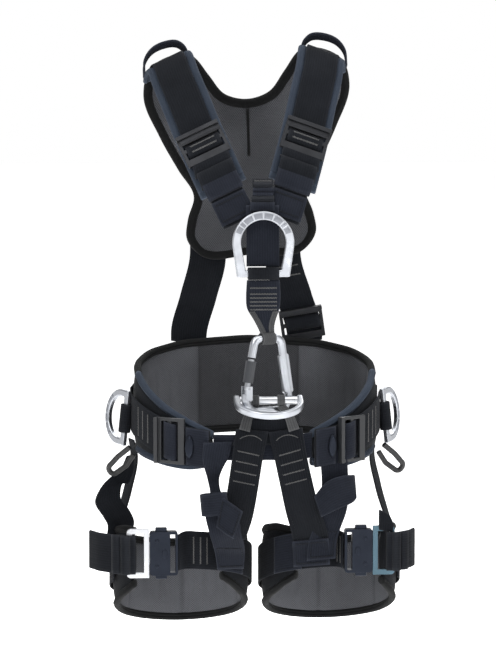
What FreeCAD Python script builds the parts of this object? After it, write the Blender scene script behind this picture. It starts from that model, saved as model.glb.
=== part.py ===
import FreeCAD, Part
import math
import os
import Sketcher
from FreeCAD import Placement, Rotation, Vector

# Full-body climbing and work-positioning harness, millimetres.
# Origin at the centre of the wearer's waist, +Z up, -Y to the wearer's front, +X to the
# right of somebody who faces the harness.  "left" and "right" below are the viewer's.

doc = FreeCAD.newDocument("climbing_harness")
sheet = doc.addObject("Spreadsheet::Sheet", "sheet")

DIMENSIONS = {
    # webbing and padding
    "webbing_width": 45,
    "webbing_thick": 2,
    "pad_thick": 12,
    "shoulder_pad_width": 58,
    "shoulder_pad_thick": 8,
    "binding_width": 10,
    "layer_gap": 0.8,
    # waist belt, an ellipse round the waist, to the middle of the pad's thickness
    "belt_half_width": 141,
    "belt_half_depth": 111,
    # leg loops, ellipses round the thighs
    "leg_centre_offset": 90,
    "leg_half_width": 77,
    "leg_half_depth": 73,
    "leg_centre_height": -202,
    "leg_slope": 0.42,
    # back pad
    "back_lean": 3,
    # D-rings: arch radius, width and drop of the straight end, section
    "chest_ring_radius": 35.7,
    "chest_ring_base": 61,
    "chest_ring_drop": 40,
    "chest_ring_band": 10,
    "chest_ring_bar": 8,
    "chest_ring_thick": 6,
    "side_ring_radius": 33,
    "side_ring_base": 66,
    "side_ring_drop": 16,
    "side_ring_band": 8,
    "side_ring_bar": 8,
    "side_ring_thick": 6,
    "dorsal_ring_radius": 31,
    "dorsal_ring_base": 56,
    "dorsal_ring_drop": 26,
    "dorsal_ring_band": 8,
    "dorsal_ring_bar": 8,
    "dorsal_ring_thick": 6,
    "ring_edge_round": 1.6,
    # ventral ring: a crescent closed by a separate round bar
    "ventral_half_width": 40,
    "ventral_arm": 8,
    "ventral_heel": 6,
    "ventral_band": 6.5,
    "ventral_thick": 8,
    "ventral_bar_radius": 4.5,
    "ventral_tilt": 16,
    # connector between the chest and the ventral ring
    "carabiner_rod": 4.8,
    "carabiner_yaw": 27,
    "spine_width": 13,
    "spine_length": 46,
    "spine_thick": 8,
    "gate_radius": 3.6,
    "gate_length": 39,
    "sleeve_radius": 6.2,
    "sleeve_length": 25,
    "running_gap": 0.06,
    # leg buckles
    "buckle_length": 33,
    "buckle_height": 52,
    "buckle_thick": 11,
    "buckle_wall": 2.2,
    "clip_travel": 3,
    "tongue_length": 22,
    "tongue_height": 26,
    "tongue_thick": 4,
    "frame_length": 26,
    "frame_height": 58,
    "frame_bar": 6,
    "frame_thick": 5,
    # webbing adjusters
    "adjuster_length": 40,
    "adjuster_width": 54,
    "adjuster_thick": 4,
    "adjuster_slot": 9,
    "adjuster_bar": 5,
}

for row, (alias, value) in enumerate(DIMENSIONS.items(), start=1):
    sheet.set("A%d" % row, alias)
    sheet.set("B%d" % row, str(value))
    sheet.setAlias("B%d" % row, alias)
doc.recompute()

SIDES = (("left", -1), ("right", 1))
UP = Vector(0, 0, 1)
CUFF_RADII = (5.5, 7.3)         # inside and outside of webbing sewn round a ring's bar


def size(alias):
    """A driving dimension, read from the sheet."""
    return float(sheet.get(alias))


def bind(item, **expressions):
    """Tie an object's properties to the sheet; a bare alias is a cell of it."""
    for name, expression in expressions.items():
        item.setExpression(name, expression)
    return item


# ---------------------------------------------------------------- webbing and padding

def feature(label, shape):
    """A sub-part whose shape no primitive gives, such as curved webbing."""
    item = doc.addObject("Part::Feature", label)
    item.Label = label
    item.Shape = shape
    return item


def normals(stations):
    """Outward direction of a ribbon at each of its stations."""
    last = len(stations) - 1
    result = []
    for i, (_, across, _) in enumerate(stations):
        along = stations[min(i + 1, last)][0] - stations[max(i - 1, 0)][0]
        result.append(along.cross(across).normalize())
    return result


def sleeve_round_bar(centre, direction, length, inner, outer):
    """A tube of webbing sewn round a bar."""
    start = centre - direction * (length / 2)
    return Part.makeCylinder(outer, length, start, direction).cut(
        Part.makeCylinder(inner, length + 2, start - direction, direction))


def lifted(stations, distance):
    """The same ribbon, moved along its own outward direction."""
    moved = []
    for (centre, across, width), normal in zip(stations, normals(stations)):
        moved.append((centre + normal * distance, across, width))
    return moved


def ribbon(stations, thickness):
    """A flat band through stations of (centre, across direction, width)."""
    sections = []
    for (centre, across, width), normal in zip(stations, normals(stations)):
        side = across * (width / 2)
        lift = normal * (thickness / 2)
        corners = [centre - side - lift, centre + side - lift,
                   centre + side + lift, centre - side + lift]
        sections.append(Part.makePolygon(corners + corners[:1]))
    band = Part.makeLoft(sections, True, True)
    if band.Volume < 0:
        band.reverse()
    return band


def plain(points, across, width):
    """Stations of constant width and direction through plain points."""
    direction = Vector(*across).normalize()
    return [(Vector(*point), direction, width) for point in points]


def between(table, key):
    """Values of a table of (key, value, ...) rows, in line between its rows."""
    for low, high in zip(table, table[1:]):
        if key <= high[0]:
            part = (key - low[0]) / (high[0] - low[0])
            return [a + (b - a) * part for a, b in zip(low[1:], high[1:])]
    return list(table[-1][1:])


def seat(stations, index, share, lift, flip=False):
    """Placement on a ribbon's span: X across it, Y back along it, Z out of its face."""
    start, across, _ = stations[index]
    run = stations[index + 1][0] - start
    normal = run.cross(across).normalize()
    if flip:
        normal = normal * -1
    back = normal.cross(across).normalize()
    right = back.cross(normal).normalize()
    turn = Rotation(right, back, normal, "ZXY")
    return Placement(start + run * share + normal * lift, turn)


# ---------------------------------------------------------------- rods and loops

def rod_path(points, bends):
    """Straight runs joined by tangent arcs; bends gives the radius at each inner point."""
    edges = []
    start = points[0]
    for i, bend in enumerate(bends, start=1):
        corner = points[i]
        arriving = (corner - points[i - 1]).normalize()
        leaving = (points[i + 1] - corner).normalize()
        turn = arriving.getAngle(leaving)
        reach = bend * math.tan(turn / 2)
        first = corner - arriving * reach
        last = corner + leaving * reach
        inward = (leaving - arriving).normalize()
        middle = corner + inward * (bend / math.cos(turn / 2) - bend)
        edges.append(Part.LineSegment(start, first).toShape())
        edges.append(Part.Arc(first, middle, last).toShape())
        start = last
    edges.append(Part.LineSegment(start, points[-1]).toShape())
    return Part.Wire(edges)


def rod(points, bends, radius):
    """A round bar along a bent path."""
    path = rod_path(points, bends)
    direction = (points[1] - points[0]).normalize()
    circle = Part.Wire(Part.makeCircle(radius, points[0], direction))
    return path.makePipeShell([circle], True, False)


# ---------------------------------------------------------------- forged D-rings

def plane_of(body, role):
    """One of a body's own origin planes."""
    return next(item for item in body.Origin.OriginFeatures if item.Role == role)


def ring_outline(sketch, radius, base, drop):
    """An arch and a straight end, joined by tangent sides; sizes are (value, expression)."""
    corner = Vector(base[0] / 2, -drop[0], 0)
    reach = math.acos(radius[0] / corner.Length)
    low = math.atan2(corner.y, corner.x) + reach
    right = Vector(math.cos(low), math.sin(low), 0) * radius[0]
    left = Vector(-right.x, right.y, 0)
    mirror = Vector(-corner.x, corner.y, 0)
    first = sketch.GeometryCount
    circle = Part.Circle(Vector(), Vector(0, 0, 1), radius[0])
    sketch.addGeometry(Part.ArcOfCircle(circle, low, math.pi - low))
    sketch.addGeometry(Part.LineSegment(left, mirror))
    sketch.addGeometry(Part.LineSegment(mirror, corner))
    sketch.addGeometry(Part.LineSegment(corner, right))
    arch, left_side, end, right_side = range(first, first + 4)
    for rule in (
        ("Tangent", arch, 2, left_side, 1),
        ("Coincident", left_side, 2, end, 1),
        ("Coincident", end, 2, right_side, 1),
        ("Tangent", right_side, 2, arch, 1),
        ("Coincident", arch, 3, -1, 1),
        ("Symmetric", end, 1, end, 2, -2),
    ):
        sketch.addConstraint(Sketcher.Constraint(*rule))
    for rule, expression in (
        (("Radius", arch, radius[0]), radius[1]),
        (("DistanceX", end, 1, end, 2, base[0]), base[1]),
        (("DistanceY", end, 1, -1, 1, drop[0]), drop[1]),
    ):
        number = sketch.addConstraint(Sketcher.Constraint(*rule))
        sketch.setExpression("Constraints[%d]" % number, expression)


def d_ring(label, prefix, placement):
    """A D-ring forged from flat bar; the arch's centre is its local origin, arch up."""
    radius, base, drop, band, bar = (
        size("%s_%s" % (prefix, name)) for name in ("radius", "base", "drop", "band", "bar"))
    named = {"p": "sheet." + prefix}
    body = doc.addObject("PartDesign::Body", label)
    body.Label = label
    sketch = body.newObject("Sketcher::SketchObject", label + "_outline")
    sketch.AttachmentSupport = (plane_of(body, "XZ_Plane"), "")
    sketch.MapMode = "FlatFace"
    ring_outline(
        sketch,
        (radius, "{p}_radius".format(**named)),
        (base, "{p}_base".format(**named)),
        (drop, "{p}_drop".format(**named)))
    ring_outline(
        sketch,
        (radius - band, "{p}_radius - {p}_band".format(**named)),
        (base - 2 * band, "{p}_base - 2 * {p}_band".format(**named)),
        (drop - bar, "{p}_drop - {p}_bar".format(**named)))
    pad = body.newObject("PartDesign::Pad", label + "_blank")
    pad.Profile = sketch
    pad.SideType = "Symmetric"
    bind(pad, Length="{p}_thick".format(**named))
    doc.recompute()
    edges = ["Edge%d" % (i + 1) for i in range(len(pad.Shape.Edges))]
    rounded = body.newObject("PartDesign::Fillet", label + "_rounding")
    rounded.Base = (pad, edges)
    bind(rounded, Radius="sheet.ring_edge_round")
    body.Placement = placement
    return body


# ---------------------------------------------------------------- blocks and turned pieces

def block(name, length, width, height, along="0", across="0", above="0"):
    """A box centred on the given local point; every argument is an expression."""
    item = doc.addObject("Part::Box", name)
    bind(item, Length=length, Width=width, Height=height)
    item.setExpression("Placement.Base.x", "%s - (%s) / 2" % (along, length))
    item.setExpression("Placement.Base.y", "%s - (%s) / 2" % (across, width))
    item.setExpression("Placement.Base.z", "%s - (%s) / 2" % (above, height))
    return item


def turned(name, radius, length, start, direction):
    """A cylinder from a local start point along a local direction."""
    item = doc.addObject("Part::Cylinder", name)
    bind(item, Radius=radius, Height=length)
    item.Placement = Placement(start, Rotation(UP, direction))
    return item


def combined(label, kind, first, others, placement=None):
    """first with the others cut away (Part::Cut) or joined on (Part::MultiFuse)."""
    item = doc.addObject(kind, label)
    if kind == "Part::Cut":
        tool = others[0]
        if len(others) > 1:
            tool = doc.addObject("Part::MultiFuse", label + "_tools")
            tool.Shapes = others
        item.Base, item.Tool = first, tool
    else:
        item.Shapes = [first] + others
    item.Label = label
    if placement is not None:
        item.Placement = placement
    return item


def adjuster(label, placement):
    """A ladder-lock frame: a plate with two slots for the webbing, and a raised lip."""
    plate = block(label + "_plate", "sheet.adjuster_width", "sheet.adjuster_length",
                  "sheet.adjuster_thick")
    slots = []
    for number, sign in enumerate((-1, 1)):
        slots.append(block(
            label + "_slot%d" % number, "sheet.webbing_width + 1", "sheet.adjuster_slot",
            "sheet.adjuster_thick + 2",
            across="%d * (sheet.adjuster_slot + sheet.adjuster_bar) / 2" % sign))
    lip = block(label + "_lip", "sheet.adjuster_width", "sheet.adjuster_bar",
                "sheet.adjuster_thick", above="sheet.adjuster_thick - 0.5",
                across="(sheet.adjuster_length - sheet.adjuster_bar) / 2")
    frame = combined(label + "_frame", "Part::Cut", plate, slots)
    return combined(label, "Part::MultiFuse", frame, [lip], placement)


# ---------------------------------------------------------------- waist belt

GRID = 12                       # degrees between stations round the waist and the thighs
WING_END = 12 * GRID            # half angle that the belt pad covers, from the spine
BELT_EDGES = [                  # angle from the spine, top edge, bottom edge
    (0, 67, -54), (36, 63, -56), (60, 56, -59), (84, 45, -61), (96, 37, -62),
    (108, 26, -64), (120, 13, -67), (132, 0, -70), (144, -12, -71), (156, -24, -66),
    (168, -38, -56),
]


def belt_point(angle, offset, height):
    turn = math.radians(angle)
    return Vector((size("belt_half_width") + offset) * math.sin(turn),
                  (size("belt_half_depth") + offset) * math.cos(turn), height)


def belt_stations(angles, offset, low, high):
    """Stations round the waist between two fractions of the belt's height at each angle."""
    stations = []
    for angle in angles:
        top, bottom = between(BELT_EDGES, abs(angle))
        z_low, z_high = low(top, bottom), high(top, bottom)
        stations.append((belt_point(angle, offset, (z_low + z_high) / 2), UP, z_high - z_low))
    return stations


def build_belt():
    edge = size("binding_width")
    gap = 0.3
    pad = size("pad_thick")
    web = size("webbing_width")
    thin = size("webbing_thick")
    outside = pad / 2 + 1 + size("layer_gap") + thin / 2
    wing = [turn * GRID for turn in range(-13, 14)]

    def middle(share):
        return lambda top, bottom: (top + bottom) / 2 + share * web

    feature("belt_pad", ribbon(belt_stations(
        wing, 0, lambda top, bottom: bottom + edge + gap, lambda top, bottom: top - edge - gap),
        pad))
    upper = belt_stations(wing, 0, lambda top, bottom: top - edge, lambda top, bottom: top)
    lower = belt_stations(wing, 0, lambda top, bottom: bottom, lambda top, bottom: bottom + edge)
    feature("belt_binding", Part.makeCompound([ribbon(upper, pad + 2), ribbon(lower, pad + 2)]))
    rear = [turn * GRID for turn in range(-7, 8)]
    feature("belt_webbing",
            ribbon(belt_stations(rear, outside, middle(-0.5), middle(0.5)), thin))
    lift = (thin + size("adjuster_thick")) / 2 + 0.6
    for side, sign in SIDES:
        angles = [sign * angle for angle in (96, 108, 120, 132, 144, 156)]
        stations = belt_stations(angles, outside, middle(-0.5), middle(0.5))
        axis = side_bar_axis(sign)
        stations[0] = (belt_point(angles[0], outside, SIDE_BAR.z), axis, CUFF_WIDTH - 2)
        centre = Vector(sign * SIDE_BAR.x, SIDE_BAR.y, SIDE_BAR.z)
        cuff = sleeve_round_bar(centre, axis, CUFF_WIDTH, *CUFF_RADII)
        feature("belt_strap_" + side, ribbon(stations, thin).fuse(cuff))
        adjuster("belt_adjuster_" + side, seat(stations, 3, 0.3, lift, flip=sign > 0))


# ---------------------------------------------------------------- back pad and shoulders

LEAN_CENTRE = Vector(0, 0, 250)
BACK_PROFILE = [                # height, distance behind the waist centre
    (150, 93), (168, 93), (210, 88), (250, 80), (280, 73), (316, 64), (364, 48), (395, 36),
    (430, 20),
]
BACK_OUTLINE = [                # right half of the upright back pad, neck to hem
    (0, 360), (26, 367), (46, 392), (66, 416), (116, 402), (125, 372), (108, 320), (87, 278),
    (69, 244), (78, 214), (80, 192), (66, 172), (0, 168),
]
OUTLINE_FACETS = 72             # flats round the back pad's edge
BINDING_GAP = 1.4               # between the pad and its binding, more than a flat's sag
SHOULDER_ROUTE = [              # right shoulder, over the top and down to the chest
    (98, 16, 404), (95, 2, 408), (88, -18, 388), (77, -34, 358), (66, -48, 327),
    (54, -64, 296), (42, -80, 264), (31, -93, 236),
]
CHEST_SHIFT = 3                 # the chest straps hang this far to the left


def leaned():
    """The back hangs a few degrees off upright, with its top to the left."""
    return Placement(Vector(), Rotation(Vector(0, -1, 0), size("back_lean")), LEAN_CENTRE)


def back_slab(thickness, low=150, high=430):
    """The back pad's curved sheet, before it is cut to its outline."""
    heights = [low] + [z for z, _ in BACK_PROFILE if low < z < high] + [high]
    points = [(0, between(BACK_PROFILE, z)[0], z) for z in heights]
    return ribbon(plain(points, (1, 0, 0), 320), thickness)


def back_prism(shrink):
    """The back pad's outline, pulled in by shrink, as a block to cut the sheet with."""
    half = [Vector(x, -80, z) for x, z in BACK_OUTLINE]
    other = [Vector(-p.x, p.y, p.z) for p in reversed(half[1:-1])]
    curve = Part.BSplineCurve()
    curve.interpolate(half + other, PeriodicFlag=True)
    wire = Part.Wire([curve.toShape()])
    if shrink:
        wire = wire.makeOffset2D(-shrink)
    facets = wire.discretize(Number=OUTLINE_FACETS + 1)[:-1]
    return Part.Face(Part.makePolygon(facets + facets[:1])).extrude(Vector(0, 260, 0))


def build_back():
    edge = size("binding_width") + 2
    pad = back_slab(size("pad_thick")).common(back_prism(edge))
    rim = back_slab(size("pad_thick") + 2).common(back_prism(0)).cut(back_prism(edge - BINDING_GAP))
    for label, shape in (("back_pad", pad), ("back_binding", rim)):
        feature(label, shape).Placement = leaned()
    thin = size("webbing_thick")
    behind = size("pad_thick") / 2 + 1 + size("layer_gap") + thin / 2
    crossing = []
    for layer, sign in enumerate((-1, 1)):
        points = []
        for x, z in ((88, 372), (62, 322), (36, 280), (12, 244), (-12, 208), (-30, 180)):
            depth = between(BACK_PROFILE, z)[0] + 5
            points.append((sign * x, depth + behind + layer * (thin + 0.8), z))
        crossing.append(ribbon(plain(points, (0.87, 0, -0.5 * sign), 45), thin))
    cuff = sleeve_round_bar(DORSAL_BAR, Vector(1, 0, 0), 32, *CUFF_RADII)
    crossing[1] = crossing[1].fuse(cuff)
    feature("dorsal_webbing", Part.makeCompound(crossing)).Placement = leaned()


def shoulder_stations(sign, width, lift=0.0):
    points = [(sign * x - CHEST_SHIFT, y, z) for x, y, z in SHOULDER_ROUTE]
    stations = plain(points, (0.92, 0, -0.38 * sign), width)
    return lifted(stations, lift)


def build_shoulders():
    thin = size("webbing_thick")
    pad = size("shoulder_pad_thick")
    over = (pad + thin) / 2 + size("layer_gap")
    handles = []
    for side, sign in SIDES:
        padding = shoulder_stations(sign, size("shoulder_pad_width"))
        webbing = shoulder_stations(sign, size("webbing_width"), over)
        items = [
            feature("shoulder_pad_" + side, ribbon(padding[:-1], pad)),
            feature("chest_webbing_" + side, ribbon(webbing, thin)),
        ]
        for item in items:
            item.Placement = leaned()
        lift = (thin + size("adjuster_thick")) / 2 + 0.6
        place = seat(webbing, 4, 0.65, lift + 0.8)
        adjuster("shoulder_adjuster_" + side, leaned().multiply(place))
        ends = [(71, 10, 428.5), (78, 12, 437), (96, 12, 437), (115, 12, 424), (122.5, 10, 407)]
        route = [Vector(sign * x - CHEST_SHIFT, y, z) for x, y, z in ends]
        stations = [(point, Vector(0, 1, 0), 14) for point in route]
        handles.append(ribbon(stations, 3))
    feature("carry_loops", Part.makeCompound(handles)).Placement = leaned()


# ---------------------------------------------------------------- chest ring and connector

CHEST_RING = Vector(0, -118, 196)       # centre of the ring's arch
CONNECTOR_AT = Vector(3.7, -119, 0)       # the connector's own origin, under its middle
NOSE = Vector(-20, 0, 64)               # the connector's outline, in its own upright plane
OUTLINE_BENDS = (8, 9, 16, 15)
GATE_PIN = Vector(-26.4, 0, 28.5)
GATE_LEAN = 10.2                        # degrees off upright
SLEEVE_START = 6.8                      # above the pin, clear of the cheeks when open
LOOP_SPAN = (-8.5, 10.5)                # straight top of the connector, held by webbing
TOP_HEIGHT = 85


def connector_place():
    return Placement(CONNECTOR_AT, Rotation(UP, size("carabiner_yaw")))


def build_chest():
    thin = size("webbing_thick")
    ring = Placement(CHEST_RING, Rotation())
    d_ring("sternal_ring", "chest_ring", ring)
    bar_height = CHEST_RING.z - size("chest_ring_drop") + size("chest_ring_bar") / 2
    bar = Vector(0, CHEST_RING.y, bar_height)
    inner, outer = CUFF_RADII
    along = Vector(1, 0, 0)
    cuff = sleeve_round_bar(bar, along, 19, inner, outer)
    upper = ribbon(plain([
        (0, -104, 238), (0, -108, 222), (0, -112, 200), (0, -112.5, 180),
        (0, bar.y + outer - 1, bar.z + 3)], (1, 0, 0), 38), thin)
    upper = upper.cut(Part.makeCylinder(inner + 0.5, 60, bar - along * 30, along))
    for start in (bar + along * 9.7, bar - along * 9.7):
        outward = along if start.x > 0 else along * -1
        upper = upper.cut(Part.makeCylinder(outer + 0.5, 20, start, outward))
    feature("sternal_webbing", upper.fuse(cuff))

    place = connector_place()
    middle = sum(LOOP_SPAN) / 2
    local = Vector(middle, 0, TOP_HEIGHT)
    rod_size = size("carabiner_rod")
    eye = place.multVec(local)
    direction = place.Rotation.multVec(along)
    hoop = sleeve_round_bar(
        eye, direction, LOOP_SPAN[1] - LOOP_SPAN[0] - 1, rod_size + 0.5, rod_size + 2.3)
    side_cuffs = [
        sleeve_round_bar(bar + along * (shift), along, 9, inner, outer)
        for shift in (-14.6, 14.6)]
    lower = ribbon([
        (bar + Vector(0, 0, -outer - 0.6), along, 38),
        (Vector(0, -118, 138), along, 40),
        (Vector(0, -118.5, 118), along, 38),
        (Vector(2, -119, 104), along, 24),
        (eye + Vector(0, 0, rod_size + 1.6), direction, 18)], thin + 1)
    yoke = [ribbon([
        (bar + along * shift + Vector(0, 0, -outer + 1.2), along, 9),
        (bar + along * shift + Vector(0, 0, -outer - 1.5), along, 9)], thin)
        for shift in (-14.6, 14.6)]
    feature("sternal_connector", lower.multiFuse(side_cuffs + yoke + [hoop]))


def build_connector():
    place = connector_place()
    outline = [NOSE, Vector(-15.5, 0, TOP_HEIGHT), Vector(19, 0, TOP_HEIGHT),
               Vector(32.5, 0, 1), Vector(-29, 0, 1), Vector(-27.5, 0, 22)]
    bar = feature("connector_bar", rod(outline, OUTLINE_BENDS, size("carabiner_rod")))
    spine = block("connector_spine", "sheet.spine_width", "sheet.spine_thick",
                  "sheet.spine_length")
    eased = doc.addObject("Part::Fillet", "connector_spine_eased")
    eased.Base = spine
    doc.recompute()
    eased.Edges = [(i + 1, 2.6, 2.6) for i in range(len(spine.Shape.Edges))]
    eased.Placement = Placement(Vector(25.8, 0, 43), Rotation(Vector(0, 1, 0), -9.1))
    gate = size("gate_radius")
    cheeks = []
    for number, sign in enumerate((-1, 1)):
        cheeks.append(block(
            "connector_cheek%d" % number, "8.4", "1.5", "16", along=str(GATE_PIN.x),
            across="%d * (sheet.gate_radius + 0.4 + 0.75)" % sign, above="23"))
    pin_hole = turned("connector_pin_hole", "1.5", "14",
                      Vector(GATE_PIN.x, -7, GATE_PIN.z), Vector(0, 1, 0))
    fork = combined("connector_fork", "Part::MultiFuse", bar, [eased] + cheeks)
    combined("carabiner_body", "Part::Cut", fork, [pin_hole], place)
    pin_length = 2 * (gate + 0.4 + 1.5) + 0.6
    pin = turned("gate_pin", "1.5", str(pin_length), Vector(), Vector(0, 1, 0))
    pin.Label = "gate_pin"
    start = Vector(GATE_PIN.x, -pin_length / 2, GATE_PIN.z)
    pin.Placement = place.multiply(Placement(start, Rotation(UP, Vector(0, 1, 0))))

    lean = Placement(GATE_PIN, Rotation(Vector(0, 1, 0), GATE_LEAN))
    blade = turned("gate_blade", "sheet.gate_radius", "sheet.gate_length - 5", Vector(), UP)
    knuckle = doc.addObject("Part::Sphere", "gate_knuckle")
    bind(knuckle, Radius="sheet.gate_radius")
    solid = combined("gate_solid", "Part::MultiFuse", blade, [knuckle])
    bore = turned("gate_bore", "1.5 + sheet.running_gap", "12", Vector(0, -6, 0),
                  Vector(0, 1, 0))
    combined("carabiner_gate", "Part::Cut", solid, [bore], place.multiply(lean))
    tube = turned("sleeve_tube", "sheet.sleeve_radius", "sheet.sleeve_length",
                  Vector(0, 0, SLEEVE_START), UP)
    hollow = turned("sleeve_hollow", "sheet.gate_radius + sheet.running_gap",
                    "sheet.sleeve_length + 2", Vector(0, 0, SLEEVE_START - 1), UP)
    combined("carabiner_sleeve", "Part::Cut", tube, [hollow], place.multiply(lean))


# ---------------------------------------------------------------- rings at the sides and back

SIDE_BAR = Vector(156, -12, -20)        # middle of the right side ring's bar
SIDE_BAR_LEAN = 6                       # degrees that the bar leans out at its foot
CUFF_WIDTH = 34                         # of the belt strap's end, sewn round that bar
SIDE_RING_TURN = 62                     # degrees that the ring rests behind straight out
DORSAL_BAR = Vector(0, 108, 236)


def side_bar_axis(sign):
    lean = math.radians(SIDE_BAR_LEAN)
    return Vector(-sign * math.sin(lean), 0, math.cos(lean))


def side_ring_place(sign):
    """The ring's bar lies up the belt, and its arch points out and back."""
    lean = math.radians(SIDE_BAR_LEAN)
    bar = side_bar_axis(sign)
    outward = Vector(sign * math.cos(lean), 0, math.sin(lean))
    turn = math.radians(SIDE_RING_TURN)
    arch = outward * math.cos(turn) + Vector(0, 1, 0) * math.sin(turn)
    rotation = Rotation(bar, bar.cross(arch) * -1, arch, "ZXY")
    bar_drop = size("side_ring_drop") - size("side_ring_bar") / 2
    centre = Vector(sign * SIDE_BAR.x, SIDE_BAR.y, SIDE_BAR.z) + arch * bar_drop
    return Placement(centre, rotation)


def build_rings():
    for side, sign in SIDES:
        d_ring("side_ring_" + side, "side_ring", side_ring_place(sign))
        route = [(152, -34, -52), (166, -28, -64), (178, -22, -78), (172, -18, -88),
                 (156, -20, -76), (147, -24, -62)]
        points = [Vector(sign * x, y, z) for x, y, z in route]
        feature("gear_loop_" + side, rod(points, (9, 7, 5, 9), 3.2))
    drop = size("dorsal_ring_drop") - size("dorsal_ring_bar") / 2
    d_ring("dorsal_ring", "dorsal_ring",
           leaned().multiply(Placement(DORSAL_BAR + Vector(0, 0, drop), Rotation())))


def build_back_straps():
    thin = size("webbing_thick")
    for side, sign in SIDES:
        top, foot = (-50, -73) if sign < 0 else (43, 72)
        points = [(top, 103, 182), (top, 104.5, 165), ((top + foot) / 2, 111, 115),
                  (foot, 119, 68), (foot, 121, 56)]
        stations = plain(points, (1, 0, 0.16 * sign), size("webbing_width"))
        feature("back_strap_" + side, ribbon(stations, thin))
        if sign > 0:
            lift = (thin + size("adjuster_thick")) / 2 + 0.6
            adjuster("back_strap_adjuster", seat(stations, 2, 0.72, lift))


# ---------------------------------------------------------------- ventral ring and leg risers

VENTRAL_BAR = Vector(6, -118, 13)
BRIDGE_LOOPS = ((-9.5, -22, -116), (20.5, 36, -121.5))  # loop, foot and depth of each bridge
BRIDGE_FOOT = -22


def build_ventral():
    thin = size("webbing_thick")
    wide = "2 * sheet.ventral_half_width"
    solid = []
    for name, radius, margin in (
            ("outside", "sheet.ventral_half_width", "0"),
            ("inside", "(sheet.ventral_half_width - sheet.ventral_band)", "1")):
        half = turned("crescent_" + name, radius,
                      "sheet.ventral_thick + 2 * %s" % margin, Vector(), UP)
        half.Angle = 180
        half.setExpression("Placement.Base.y", "sheet.ventral_arm")
        half.setExpression("Placement.Base.z", "-sheet.ventral_thick / 2 - %s" % margin)
        foot = block("crescent_foot_" + name, "2 * " + radius,
                     "sheet.ventral_arm + sheet.ventral_heel + %s" % margin,
                     "sheet.ventral_thick + 2 * %s" % margin,
                     across="(sheet.ventral_arm - sheet.ventral_heel - %s) / 2" % margin)
        solid.append(combined("crescent_blank_" + name, "Part::MultiFuse", half, [foot]))
    hole = turned("crescent_bore", "2.8", wide, Vector(-40, 0, 0), Vector(1, 0, 0))
    tilt = Rotation(Vector(1, 0, 0), size("ventral_tilt")).multiply(Rotation(UP, 180))
    place = Placement(VENTRAL_BAR, tilt)
    cut = combined("crescent_open", "Part::Cut", solid[0], [solid[1], hole])
    doc.recompute()
    eased = doc.addObject("Part::Fillet", "ventral_ring")
    eased.Label = "ventral_ring"
    eased.Base = cut
    arches = []
    for number, edge in enumerate(cut.Shape.Edges, start=1):
        curve = edge.Curve
        if isinstance(curve, Part.Circle) and curve.Radius > 20:
            arches.append((number, 1.8, 1.8))
    eased.Edges = arches
    eased.Placement = place
    span = 2 * (size("ventral_half_width") - size("ventral_band")) - 0.2
    core = turned("bar_core", "2.8", wide, Vector(-40, 0, 0), Vector(1, 0, 0))
    grip = turned("bar_grip", "sheet.ventral_bar_radius", str(span),
                  Vector(-span / 2, 0, 0), Vector(1, 0, 0))
    combined("ventral_bar", "Part::MultiFuse", grip, [core], place)

    loops = []
    for x, foot, depth in BRIDGE_LOOPS:
        centre = Vector(x, VENTRAL_BAR.y, VENTRAL_BAR.z)
        bar = size("ventral_bar_radius")
        loop = sleeve_round_bar(centre, Vector(1, 0, 0), 9, bar + 0.4, bar + 2.0)
        tail = ribbon(plain([
            (x, depth, VENTRAL_BAR.z - bar - 1.4), (x + (foot - x) * 0.4, depth, 0),
            (foot, -118.2, BRIDGE_FOOT)], (1, 0, 0.3 if x > 0 else -0.3), 10), thin - 0.4)
        loops.append(loop.fuse(tail))
    feature("ventral_bridges", Part.makeCompound(loops))
    panel = [(Vector(6.5, -112, -9), Vector(1, 0, 0), 56),
             (Vector(6.5, -112, -40), Vector(1, 0, 0), 84)]
    feature("ventral_panel", ribbon(panel, thin))
    band = [(Vector(x, y, z), UP, 30) for x, y, z in (
        (-57, -105, -43), (-30, -108.5, -43), (6, -108.8, -43), (42, -108.5, -43),
        (58, -105, -41))]
    feature("front_band", ribbon(band, thin))


# ---------------------------------------------------------------- leg loops

LEG_EDGES = [                   # angle from the rear of the thigh, height of the padding
    (0, 103), (60, 102), (96, 96), (120, 84), (144, 62), (200, 50),
]


def leg_point(sign, angle, offset):
    """A point round the thigh; angle 0 is the rear and +90 the outer side."""
    turn = math.radians(angle)
    x = size("leg_centre_offset") + (size("leg_half_width") + offset) * math.sin(turn)
    y = (size("leg_half_depth") + offset) * math.cos(turn)
    return Vector(sign * x, y, size("leg_centre_height") - size("leg_slope") * y)


def leg_stations(sign, angles, offset, low, high):
    """Stations round the thigh between two fractions of the padding's height."""
    stations = []
    for angle in angles:
        half = between(LEG_EDGES, abs(angle))[0] / 2
        z_low, z_high = low(half), high(half)
        centre = leg_point(sign, angle, offset) + UP * ((z_low + z_high) / 2)
        stations.append((centre, UP, z_high - z_low))
    return stations


BUCKLE_PLACE = Vector(114.5, -91, -169)     # the right leg's buckle body
LEG_STRAP_SPARE = {"left": 48, "right": 32}     # strap left over outside each buckle


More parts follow.
